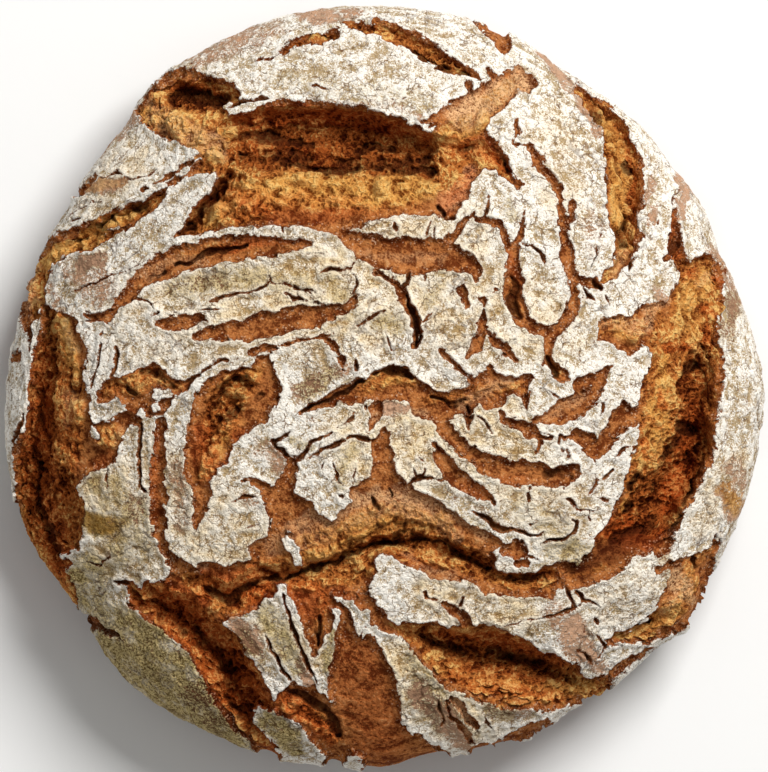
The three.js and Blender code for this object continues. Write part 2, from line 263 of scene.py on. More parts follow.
# %% The tears, as (x, y, reach to the lip, reach of the slope, depth)
TEARS = {
    "north": [
        (-60, 88, 5, 14, 3), (-50, 88, 10, 26, 6), (-38, 90, 13, 31, 7), (-25, 90, 14, 32, 8),
        (-10, 88, 14, 29, 8), (2, 86, 13, 26, 7), (12, 86, 9, 22, 6), (22, 84, 6, 18, 5), (34, 85, 5, 10, 5),
        (44, 79, 4, 6, 3), (50, 73, 2, 2, 1),
    ],
    "north_trench": [
        (-57, 95, 4, 5, 6), (-50, 94, 6, 8, 9), (-42, 93, 9, 9.5, 12), (-32, 92, 11.5, 11, 15),
        (-20, 91, 12.5, 11.5, 16), (-8, 89, 13, 10.5, 16), (2, 87, 12.5, 9.5, 14), (12, 85, 10, 7, 11),
        (19, 82, 6, 4, 6),
    ],
    "north_west_cave": [
        (-84, 108, 2, 5, 2), (-75, 108, 5, 12, 6), (-65, 107, 6, 14, 8), (-57, 106, 4, 10, 5),
        (-50, 103, 2, 6, 2),
    ],
    "north_west": [
        (-76, 55, 2, 2, 1), (-70, 58, 4, 6, 5), (-63, 64, 5, 8, 8), (-58, 72, 5, 8, 8), (-51, 80, 4, 8, 5),
    ],
    "west_shoulder": [
        (-121, 48, 3, 4, 3), (-112, 50, 5, 5, 6), (-104, 56, 5, 5, 7), (-97, 61, 5, 4, 6), (-89, 64, 4, 4, 5),
        (-81, 69, 3, 3, 3),
    ],
    "west_rim": [(-125, 26, 4, 4, 4), (-125, 34, 4, 4, 4), (-124, 42, 4, 4, 4), (-121, 50, 3, 3, 3)],
    "west": [
        (-112, -81, 3, 3, 2), (-118, -72, 6, 6, 6), (-124, -58, 8, 14, 11), (-128, -45, 7, 19, 14),
        (-128.5, -32, 7, 18, 14), (-127.5, -20, 6, 18, 12), (-126, -8, 5, 18, 10), (-124, 4, 5, 15, 9),
        (-122.5, 14, 5, 12, 8), (-121, 22, 4, 8, 6), (-119, 28, 3, 4, 3),
    ],
    "north_east": [
        (69, 111, 3, 3, 2), (76, 104.5, 4, 4, 5), (82, 97, 5, 6, 6), (87, 88, 6, 7, 7), (88, 78, 6, 8, 7),
        (88, 68, 6, 7, 7), (88, 57, 5, 5, 6), (86, 45, 4, 4, 4), (79, 36, 3, 3, 2),
    ],
    "east_ledge": [
        (116, 46, 6, 7, 4), (113, 36, 10, 10, 6), (111, 25, 11, 9, 6), (110, 12, 13, 13, 6),
        (108, 0, 14, 14, 6), (106, -12, 14, 14, 6), (102, -24, 16, 13, 6), (97, -36, 16, 9, 7),
        (90, -46, 13, 5, 5), (83, -54, 11, 4, 3), (76, -61, 8, 3, 2), (68, -67, 5, 3, 2),
    ],
    "east_trench": [
        (114, 16, 7, 6, 4), (114, 6, 8, 6, 10), (113, -6, 8, 6, 11), (111, -18, 9, 8, 14),
        (106, -29, 11, 10, 15), (99, -40, 12, 11, 14), (93, -48, 10, 6, 9), (88, -53, 6, 4, 4),
    ],
    "south_east": [
        (3, -88, 3, 3, 2), (10, -91, 4, 5, 5), (18, -94, 7, 9, 9), (27, -98, 10, 12, 13),
        (36, -99, 12, 15, 15), (46, -100, 11, 17, 15), (56, -103, 9, 15, 13), (65, -106, 6, 12, 10),
        (74, -109, 4, 8, 6), (82, -112, 3, 4, 3),
    ],
    "south_west": [
        (-92, -76, 4, 4, 3), (-84, -79, 8, 7, 6), (-74, -85, 9, 10, 9), (-64, -94, 9, 10, 11),
        (-57, -103, 9, 11, 12), (-53, -112, 10, 10, 10), (-48, -121, 8, 8, 7), (-42, -129, 5, 5, 4),
    ],
    "south": [
        (-70, -72, 4, 5, 3), (-56, -78, 6, 7, 6), (-46, -71, 6, 8, 6), (-34, -70, 5, 8, 5),
        (-23, -68, 4, 8, 6), (-12, -63, 4, 10, 7), (-2, -59, 4, 9, 7), (8, -58, 4, 8, 7), (17, -59, 5, 8, 6),
        (26, -62, 4, 7, 5), (35, -67, 5, 6, 4), (45, -71, 5, 5, 4), (60, -71, 4, 5, 4),
    ],
    "north_cleft": [
        (-16, 133, 2, 2, 1), (-6, 131, 3, 4, 3), (4, 129, 4, 4, 4), (14, 123, 4, 5, 4), (24, 117.5, 3, 4, 3),
        (34, 112, 2, 2, 1),
    ],
    "north_rim": [
        (-46, 118.5, 2, 2, 1), (-35, 124, 2.5, 2.5, 2.5), (-26, 127.5, 3, 3, 3), (-19, 129, 3, 3, 3),
    ],
    "south_east_rim": [(80, -92, 3, 3, 2), (90, -91, 3, 4, 3), (98, -88, 4, 4, 5), (106, -85, 4, 4, 3)],
}
print(len(TEARS), "tears, the deepest", max(row[4] for rows in TEARS.values() for row in rows), "mm")

# %% How deep the tears are
def tear_depth(x, y):
    """Depth of the deepest tear at each point, and the direction that it runs in. With s the way out to the
    tear's edge, the lip's side falls by 1 - s^3 and the slope's by (1 - s)^1.25."""
    depth, run = np.zeros(x.shape), np.zeros((len(x), 3))
    for rows in TEARS.values():
        for start, end in zip(rows[:-1], rows[1:]):
            i = near(x, y, start, end, max(start[2], start[3], end[2], end[3]))
            along, off, is_left = beside(x[i], y[i], start, end)
            first = np.where(is_left, start[2], start[3])
            last = np.where(is_left, end[2], end[3])
            s = np.clip(off / (first + along * (last - first)), 0, 1)
            fall = np.where(is_left, 1 - s**3, (1 - s) ** 1.25)
            here = (start[4] + along * (end[4] - start[4])) * fall
            depth[i] = np.maximum(depth[i], here)
            step = np.array([end[0] - start[0], end[1] - start[1], 0])
            run[i] += here[:, None] * step / np.linalg.norm(step)
    length = np.linalg.norm(run, axis=1, keepdims=True)
    return depth, np.where(length > 1e-6, run / np.maximum(length, 1e-6), (1.0, 0.0, 0.0))


trench_place = np.array([-20.0]), np.array([91.0])
print("depth in the north trench:", tear_depth(*trench_place)[0].round(1), "mm")

# %% [markdown]
# ## Bare crust and plates
# Between the plates the crust is bare. Large bare places are drawn as patches, the channels between plates as
# strokes, and scraps of skin that stayed inside a bare place are taken out of it again. Cracks are thin
# strokes that cross everything.

# %% Bare patches, as outlines in mm
BARE = {
    "north_fringe": [
        (14, 96), (20, 101), (26, 104.5), (31, 107), (36, 110), (42, 114), (50, 116), (55, 114), (50, 110),
        (42, 106), (34, 100), (26, 95),
    ],
    "middle_notch": [
        (-6.5, -7), (-3, -5), (-0.5, -5), (-1, -11), (-3, -13.5), (-6, -16.5), (-5, -12), (-5.5, -9),
    ],
    "south_east_rim": [
        (103.5, -66.5), (107, -65), (110, -62.5), (114, -60.5), (118, -60), (121, -64), (119, -72),
        (117, -80), (114.5, -86), (108, -90), (103, -92), (97, -93.5), (88, -94.5), (82, -94), (79, -92),
        (84, -90.5), (91, -88), (96, -85), (99, -80), (101, -76), (103.5, -72), (104, -69),
    ],
    "north_rim": [
        (30, 134.5), (38, 133), (44, 131), (47, 126), (45, 122), (42, 121), (40, 126), (36, 130), (31, 134),
    ],
    "north_west_strip": [
        (-79, 74.5), (-72, 78), (-67, 82.5), (-63, 81), (-61, 78.5), (-62, 77), (-66, 77), (-71, 76),
        (-75, 74), (-78, 72.5),
    ],
    "west": [
        (-124.5, 30), (-125, 20), (-127, 15), (-128, 10), (-128.5, 5), (-128.3, 0), (-129.5, -5), (-130, -10),
        (-131, -16), (-134, -19.5), (-134.8, -25), (-134.6, -35), (-134, -43), (-142, -45), (-140, -70),
        (-122, -84), (-112, -81), (-112, -78), (-114, -72), (-116, -68), (-113.5, -65), (-117.5, -62),
        (-111, -60), (-109.8, -56), (-109.5, -48), (-110.3, -40), (-111.5, -36.5), (-110, -35),
        (-108.5, -32.5), (-105, -30.5), (-101, -30), (-99.3, -28), (-98, -25.5), (-95.5, -21), (-94.5, -19),
        (-92, -14.5), (-88.5, -13), (-87.5, -11), (-94, -10), (-97, -11), (-100, -13.5), (-105, -13.5),
        (-107, -11), (-107, -5), (-107.5, 0), (-110, 4), (-108, 8), (-108, 14), (-111, 18), (-112, 24),
        (-117, 27),
    ],
    "crumb_left": [
        (-105, -2.5), (-101, 1.5), (-99, 3), (-95, 3.5), (-90, 5.5), (-87, 7), (-84, 9.5), (-80, 6),
        (-79, 3.5), (-74, 1.5), (-71, 1), (-72, -1.5), (-76, -4), (-78, -6.5), (-79, -9), (-79.5, -12),
        (-83, -11), (-87, -11), (-87, -7.5), (-89, -7.5), (-90, -9.5), (-95, -7), (-97, -5), (-101, -5.2),
        (-104, -6),
    ],
    "crown_bowl": [
        (-66, 0), (-62, 3), (-60, 4), (-52, 6.5), (-48, 6), (-45, 11), (-41, 12), (-40, 8), (-38, 2),
        (-37.5, -1.5), (-39.5, -7), (-42.5, -12.5), (-45.5, -15), (-50, -17.8), (-55, -21), (-55.7, -23),
        (-58, -25.5), (-57, -27.5), (-59, -28.5), (-61, -30.5), (-63.8, -36), (-61.5, -39.5), (-63, -42),
        (-64.5, -45), (-66.8, -50), (-68, -53), (-70, -50), (-69, -46), (-68.5, -42), (-70.5, -36),
        (-72, -31), (-72, -25), (-71.5, -20), (-71, -15), (-70, -11), (-70, -8), (-68.5, -5),
    ],
    "south": [
        (-93, -72), (-91, -71.5), (-90.5, -74), (-87.5, -73.8), (-86.5, -71.8), (-83, -71), (-80.5, -71.5),
        (-77, -68), (-80, -62), (-77, -60.5), (-74.5, -64), (-70, -67), (-67, -68.5), (-67.3, -66),
        (-66.5, -63.5), (-63, -63.3), (-60, -64.7), (-57.5, -65.6), (-55, -64.2), (-51, -63.6), (-48, -62.6),
        (-48.5, -58.3), (-45, -56), (-42.3, -54.5), (-41.3, -52), (-41.7, -47), (-42.5, -43), (-44, -41),
        (-44.3, -38), (-45.5, -36.5), (-50.5, -34.5), (-50, -32.8), (-46, -33.3), (-43, -34.5), (-40, -36.5),
        (-37.5, -36), (-36.3, -33), (-35.5, -30), (-36, -27.5), (-34.5, -25.5), (-31.5, -26), (-31.3, -30),
        (-33, -34), (-33, -39), (-31.5, -40.5), (-28, -42.3), (-25, -44.8), (-22.5, -47), (-19, -48.7),
        (-16, -46.3), (-11.7, -42), (-12.5, -37), (-8, -34.8), (-5, -33.3), (-3.5, -28.5), (-4.8, -22),
        (-5, -19.5), (-1.5, -16.5), (0.5, -15.3), (1.5, -19), (2.5, -23), (4, -29), (4.5, -32), (10, -36),
        (11, -38), (14, -39.5), (18, -41), (21, -43), (26, -47), (30, -49.5), (38, -54), (42, -56),
        (44.5, -58.3), (41.5, -59), (39.2, -60.5), (40, -65), (41.5, -67.5), (45, -68.7), (50, -68.3),
        (55, -68), (60, -66), (66, -64), (70, -64), (74, -70), (72, -73.5), (67, -74.5), (65, -71),
        (63.5, -74), (61, -77.5), (57, -76), (50, -76), (43, -76.5), (38, -75.7), (34, -73), (31, -71),
        (28, -70.7), (22, -70.7), (17, -70), (12.5, -67), (9, -66), (5, -64.5), (3.5, -62), (1, -61),
        (-1.5, -62), (-4, -64), (-3, -67), (-4, -72), (-6, -74.5), (-5.5, -77), (-2.5, -79.5), (-0.5, -81),
        (2, -84.5), (5, -87), (8, -90), (2, -90), (-0.5, -89.5), (-4.5, -86.5), (-5, -83), (-7, -81),
        (-8.5, -82), (-10, -80), (-10, -76.5), (-12, -77), (-16, -76), (-18, -76), (-18, -77.5), (-16, -80),
        (-13, -82.5), (-11, -86), (-9.5, -91), (-7, -88), (-7.5, -91.5), (-5, -90.5), (-2.5, -95), (0, -99),
        (3.5, -104), (5, -108), (5.2, -118), (6.5, -122.5), (9.5, -126), (13, -127.5), (18, -132),
        (24, -134.5), (24, -143), (-47, -143), (-47, -133), (-48.5, -129.3), (-54, -126), (-57, -122.5),
        (-60, -118.5), (-62, -115.5), (-66, -107.5), (-68, -103), (-70, -99), (-75.5, -92.5), (-80, -89.5),
        (-85, -86.5), (-90.5, -81.5), (-92, -80.5),
    ],
    "south_east": [
        (5, -87), (10, -86.3), (15, -86), (20, -87), (23, -88.5), (27, -87.5), (31, -87), (40, -87.5),
        (43, -88.5), (46, -90), (50, -92), (54, -95), (58, -97), (62, -98.5), (66, -101), (70, -101),
        (72, -104), (74, -106), (79, -107.5), (84, -110), (80, -120), (74, -119), (72, -116), (66, -117),
        (62, -118.5), (55, -118.5), (50, -118), (45, -117.5), (40, -116.5), (35, -115), (30, -113),
        (25, -111), (21, -108), (17, -104), (13, -100), (10, -95.5), (7, -92), (3, -89.7),
    ],
    "east": [
        (107, 41), (105, 36), (103, 30), (99, 30.5), (97, 31), (93, 30), (91, 26), (88, 24.5), (83, 25.5),
        (78, 23), (77, 16.5), (82, 16), (85, 13), (88, 11.5), (90, 12.5), (95, 15.5), (97, 12), (96, 6),
        (94, 0), (92, -4), (91, -7), (88, -7), (87, -5), (85, -7), (82, -11), (80, -15.5), (77, -18.5),
        (75, -17), (69, -15.5), (67, -17.5), (63.5, -18.5), (64.5, -20.5), (67, -19), (70, -21), (74, -25),
        (76, -26.5), (79, -25.5), (83, -21), (86, -17), (88, -15), (92, -13), (93, -18), (91, -22), (89, -28),
        (87, -35), (85, -42), (83, -46), (79, -52), (75, -60), (70, -65), (66, -66), (68, -74), (74, -73),
        (78, -71.5), (82, -70), (86, -67), (90, -63), (95, -61), (98, -59), (103, -55), (105, -54),
        (107, -50), (109, -46), (112, -42), (114, -38), (116, -34), (118, -30), (119.5, -25), (120.3, -20),
        (120, -15), (121.5, -10), (121, -5), (122.3, 0), (124, 5), (123, 12), (122, 18), (121.5, 25),
        (123, 30), (124, 38), (123, 45), (117, 48), (112, 46),
    ],
    "middle": [
        (-32, -10), (-28, -7), (-24, -5.3), (-20, -2.8), (-16, 0), (-11, 2), (-6, 3), (-3, 5), (2, 7.5),
        (8, 7), (12, 4), (14, 1), (16, 0.5), (19, -1.7), (23, -2.4), (28, -1.8), (31, -0.5), (33, 1.5),
        (35, 4), (38.5, 7), (41, 5), (45, 3.5), (50, 4), (54, 3), (53, 0), (52, -3), (51.5, -8), (50.5, -7),
        (49.5, -3), (47, -2), (45, -3.5), (43.5, -6), (41, -7.5), (37, -9), (35, -6.5), (33, -8), (32.5, -11),
        (31.3, -16.5), (30.5, -13), (29.5, -10.5), (26, -11), (23, -12.5), (25, -15), (22, -17), (20, -15),
        (18, -13.4), (13, -12.7), (10, -10), (8.5, -7), (8, -4.2), (5, -5), (0, -4.9), (-6, -5.3), (-9, -6.5),
        (-13, -7), (-17, -6.2), (-22, -7), (-27, -8.8),
    ],
    "north": [
        (-57, 98), (-50, 99.5), (-45, 101), (-40, 103), (-35, 104), (-25, 104), (-15, 103), (-8, 101.5),
        (0, 99.5), (6, 97), (10, 95), (16, 92.5), (19, 94.5), (24, 97), (29, 99), (30, 103), (33, 106.5),
        (37, 108), (40, 110.5), (43, 112), (50, 114), (56, 111), (53, 107), (49, 108), (46, 105), (44, 101),
        (40, 99), (38, 98), (38, 94), (37.5, 91), (41, 89), (43, 86), (45, 81), (48, 75), (50, 73),
        (48, 71.5), (44, 75), (40, 79), (37, 79), (33, 75), (31, 71), (29, 67), (26, 63), (24, 61),
        (17, 62.5), (8, 62), (0, 61.5), (-9, 58), (-17, 55.3), (-25, 57), (-35, 58.3), (-40, 58.5), (-45, 58),
        (-50, 58), (-56, 58), (-60, 57), (-66, 55.5), (-71, 54.5), (-76, 54.5), (-74, 57), (-72, 59),
        (-70, 62.5), (-68, 65.5), (-66, 68), (-64, 70.5), (-62, 73), (-61, 76), (-62, 80), (-70, 87),
        (-78, 89.5), (-81, 90.5), (-84, 93), (-88, 96), (-90, 101), (-85, 110), (-79, 115.5), (-70, 117),
        (-68, 114.6), (-64, 113), (-55, 110.5), (-52, 106), (-58, 102),
    ],
    "north_east": [
        (70, 112), (75, 107), (80, 104), (85, 99), (88, 95), (91, 89), (93, 84), (94.5, 78), (95, 70),
        (92, 60), (94, 55), (91, 49), (88, 44), (84, 40), (80, 37), (77, 37), (80, 41), (83, 44), (84, 50),
        (83, 57), (82, 60), (80.5, 75), (80.5, 88), (79, 93.5), (73, 103), (69, 108),
    ],
    "west_shoulder": [
        (-123, 50), (-118, 56.5), (-110, 58), (-105, 61.5), (-100, 63), (-95, 65), (-88, 67.5), (-83, 70.5),
        (-78, 73), (-80, 69), (-86, 62.5), (-90, 60.5), (-96, 59), (-100, 56), (-104, 53), (-108, 50),
        (-115, 48), (-121, 45),
    ],
}
print(len(BARE), "bare patches")

# %% Channels between plates, as (x, y, width)
BANDS = [
    [(17, 94.5, 1), (20, 97, 2), (24, 98, 1)],
    [(31, 110, 1.5), (33, 107, 2)],
    [(-134, 13, 1.5), (-134.5, 9.5, 3)],
    [(-131.5, 34, 2.5), (-131, 27, 4), (-130.5, 20, 2)],
    [(-112, 70, 3), (-108.5, 73, 3.5), (-105, 76, 2)],
    [(-110, 49.5, 1.5), (-104, 52.3, 1.8), (-97, 56.5, 1.8), (-90, 60.5, 1.5), (-84, 66, 1.5)],
    [(-100, 24, 3), (-97, 29, 4), (-92, 34, 5), (-86, 40, 7), (-80, 44, 10), (-70, 47, 10), (-60, 49, 9),
     (-50, 50.5, 9), (-40, 50.5, 7), (-30, 51, 3), (-27, 51.5, 1)],
    [(-108, 26, 2), (-103, 25.5, 3), (-100, 24.5, 3)],
    [(-83, 24, 1.2), (-80, 22.7, 3.6), (-72, 23, 5), (-66, 24.7, 3), (-64, 23.8, 1)],
    [(-68, 18, 2), (-60, 19.5, 6), (-50, 20, 8), (-42, 22.5, 10), (-35, 24, 8), (-25, 25.5, 8),
     (-15, 27.5, 4), (-11, 31, 3)],
    [(-48, 12, 2), (-42, 14, 2), (-36, 15, 1.5), (-30, 16.5, 1), (-25, 17, 1), (-22, 17.5, 2), (-20, 16.5, 2),
     (-17, 13, 2), (-15.5, 10, 1.5), (-15, 6, 1)],
    [(-15, 55.5, 4), (-10, 52.5, 6), (-5, 50, 9), (0, 48.5, 11), (8, 47.5, 14), (16, 47.5, 13), (24, 47, 10),
     (30, 45, 7), (34, 42, 4), (33, 38.5, 1)],
    [(30, 60.5, 2), (27, 57, 2), (25, 54, 2), (23, 52.5, 2)],
    [(33, 63, 1.5), (33, 61.5, 1.5), (36, 60, 2), (40, 59.5, 2.5), (42, 58, 3), (44, 54, 3), (46, 49, 2)],
    [(50.5, 64, 0.8), (50, 59, 1.5), (49.5, 55, 2), (47.5, 52, 2), (47, 48, 3), (47, 44, 5), (47, 40, 6),
     (46.5, 35, 7), (48, 29, 7), (50, 24, 5), (55, 20.5, 4), (60, 18.5, 3)],
    [(48.5, 97, 1.5), (48, 92, 1), (47, 88.5, 0.5), (52, 88, 2), (55, 83, 3), (57, 79, 3), (60, 76, 3),
     (63, 72, 3), (64, 67, 1.5), (64.5, 62, 2), (65, 57, 3.5), (66, 50, 4), (67, 45, 4), (69, 38, 4),
     (69, 33, 4), (69, 28, 4), (67, 24, 4), (63, 20, 4), (60, 17, 4), (59, 13, 2.5), (59.5, 9, 3), (62, 6, 4),
     (65, 3.5, 4), (67, 2, 1.5)],
    [(68, 66, 1), (68, 62, 1), (67, 60, 1)],
    [(69, 38, 3), (73, 38, 2.5), (76, 37, 3.5), (78, 36, 3)],
    [(38.5, 6.5, 2), (40, 4.5, 2), (43, 3, 2), (48, 3, 2), (53, 4, 1)],
    [(21, 12, 1.5), (24, 9.5, 2.5), (26, 7.5, 3), (29, 5, 2), (32, 2, 1.5), (35, 0, 1)],
    [(30, 10.5, 1), (32, 13, 3), (34, 16, 4), (35.5, 20, 3.5), (36, 24, 2.5), (36.5, 28, 1.5), (37, 31, 1),
     (40, 35, 1)],
    [(37.5, 19.5, 1), (40, 17, 2), (43, 14, 3), (46, 11, 3), (48, 9, 0.8)],
    [(28.5, 34, 4), (30, 30, 3)],
    [(34.5, 31.5, 1.2), (36.5, 31.5, 1.2)],
    [(-3, 41, 1), (0, 39.5, 2), (4, 37, 2.5), (6, 34, 3), (8, 30, 3.5), (10, 27, 4), (11.5, 23, 3.5),
     (12, 20, 3), (11, 15, 1.5)],
    [(105.5, 64, 1), (106, 58, 3.5), (105.5, 50, 5), (109, 44, 6)],
    [(105, 49, 1.5), (102, 46, 1.2)],
    [(84, 8, 1), (80, 6, 2), (77, 3.5, 3), (73, 1, 4), (70, 0, 4)],
    [(-80.5, -12, 3), (-81.5, -20, 4.5), (-82, -30, 5), (-82, -40, 6), (-81.5, -48, 5), (-81, -55, 4),
     (-80, -60, 2.5), (-77, -63, 2.5), (-73, -66, 3), (-70, -68, 4)],
    [(-33, -27, 3), (-32.5, -30, 3.5), (-34, -33, 4), (-35.5, -37, 5)],
    [(18, -21, 1.5), (20, -25, 4), (23, -29, 6), (26, -33, 7), (30, -36, 6), (34, -38.5, 5), (38, -40.5, 2),
     (40, -42.5, 1)],
    [(20, -13, 3), (23, -16, 5), (26, -20, 5.5), (30, -24, 5.5), (35, -27, 6), (40, -29.5, 7), (45, -31, 8),
     (50, -32, 9), (55, -32, 9), (60, -33, 8), (65, -33, 7), (68, -31.5, 5), (70, -30, 2)],
    [(42, -10, 1), (43, -12, 2), (46, -13, 3), (50, -14.5, 4), (53, -17, 4), (56, -19, 2), (58, -19, 1),
     (60, -18.8, 1)],
    [(57, -20, 1.2), (55, -24, 1.2)],
    [(54, -12, 2), (60, -11.5, 5), (65, -9.5, 8), (70, -7, 8.5), (75, -3, 6), (78, 2, 5), (80, 6, 2)],
    [(31, -8, 2), (31, -12, 2.5), (31, -16, 0.8)],
    [(-46, 119, 0.6), (-41, 120, 1.2), (-37, 122, 1.6), (-33, 125, 2.4), (-27, 126.6, 3), (-21, 127.3, 3.6),
     (-18, 129, 3)],
    [(-16, 133.5, 1), (-8, 131.5, 4), (0, 130, 6), (10, 126, 7), (20, 119.5, 7), (28, 115.5, 5),
     (34, 112.5, 1)],
    [(37, 116.5, 1), (39, 113, 2), (42, 109.5, 3), (44, 108, 2)],
    [(-88, 71, 1), (-84, 73, 1.5), (-80, 75.5, 1.5), (-75, 78.5, 1.5), (-70, 82, 1.5), (-67, 84.5, 1)],
    [(-120, 53, 4), (-124, 46, 6), (-126, 40, 7), (-127, 32, 7), (-128, 26, 6)],
    [(80, -108, 4), (84, -105, 3), (88, -101.5, 3.5), (93, -98.5, 2), (98, -96, 1)],
    [(104, -56, 2), (101, -59, 4), (100, -62, 2)],
    [(121, -55, 1), (121, -60, 3), (118, -62, 4)],
    [(100, -67, 3), (104, -65, 3.5), (107, -64.5, 2)],
    [(44, -60, 5), (48, -60, 7), (50.5, -60, 3)],
    [(48.5, -64.5, 2.3), (52, -64.3, 2.5)],
    [(15, -75, 1), (16, -77, 1), (19, -78, 1.2), (22, -79.5, 2), (25, -82, 3), (27, -83.5, 3.5), (29, -85, 4),
     (31, -88, 4)],
    [(33, -134, 4), (40, -132, 4), (48, -129, 5), (55, -125.5, 5), (60, -123, 3)],
    [(26, -114, 2), (28, -118, 3), (31, -122, 3.5), (34, -125.5, 1.5)],
    [(23, -116, 1), (24, -120, 2), (27, -124, 2), (30, -127, 2), (32, -130, 1.5)],
]
print(len(BANDS), "channels")

# %% Scraps of skin left inside bare places
SCRAPS = [
    [(-84.5, -3), (-83, -1), (-80, 0), (-77.5, -1.5), (-78, -4), (-80.5, -5), (-84, -4.5)],
    [(-84.5, -8), (-83, -6), (-80.5, -6.5), (-80, -9), (-82, -10), (-84.5, -9.5)],
    [(-106.5, -14), (-104.5, -14.5), (-103, -18), (-104, -19.5), (-106, -18)],
    [(-58.5, -87), (-55, -85), (-50, -83), (-46, -81), (-44, -79), (-42, -77), (-40, -77), (-38, -75),
     (-39.5, -72), (-37, -71.5), (-35, -73), (-34, -76), (-32, -79), (-30, -84), (-29, -88), (-27.5, -93),
     (-26, -97), (-24.8, -98.5), (-23, -95), (-21, -90.5), (-19, -87.5), (-18, -84.5), (-19, -81),
     (-17.5, -80.5), (-16, -83), (-16.3, -87), (-17, -92), (-18, -96), (-19.8, -100), (-20, -104),
     (-20, -109), (-19.5, -113), (-18, -116), (-19.5, -115.5), (-22, -112.5), (-25, -109), (-27.5, -110),
     (-31, -108), (-33, -107), (-34, -108), (-36, -111), (-38.5, -112), (-39.5, -114.8), (-42, -111),
     (-43.5, -108), (-44, -105), (-47, -101), (-50, -97), (-52, -93.5), (-55, -90.5)],
    [(-48, -119), (-46, -118), (-43, -118), (-40, -119), (-36, -120.5), (-33, -122), (-30, -124), (-28, -127),
     (-26, -130), (-24, -132.5), (-21.5, -135.5), (-22, -139), (-24, -143), (-38, -143), (-38, -134.5),
     (-39, -132.5), (-41, -130), (-43, -127.5), (-47, -124.5), (-48.3, -121)],
    [(-14, -137), (-12, -134.5), (-9, -136), (-7, -139), (-8, -142), (-15, -142)],
    [(-36.5, -54), (-35, -53), (-33.5, -55), (-31.5, -57.5), (-30, -59.5), (-30, -62), (-28.5, -65),
     (-29.5, -66), (-31.5, -65), (-33.5, -61), (-36, -57)],
]
print(len(SCRAPS), "scraps")

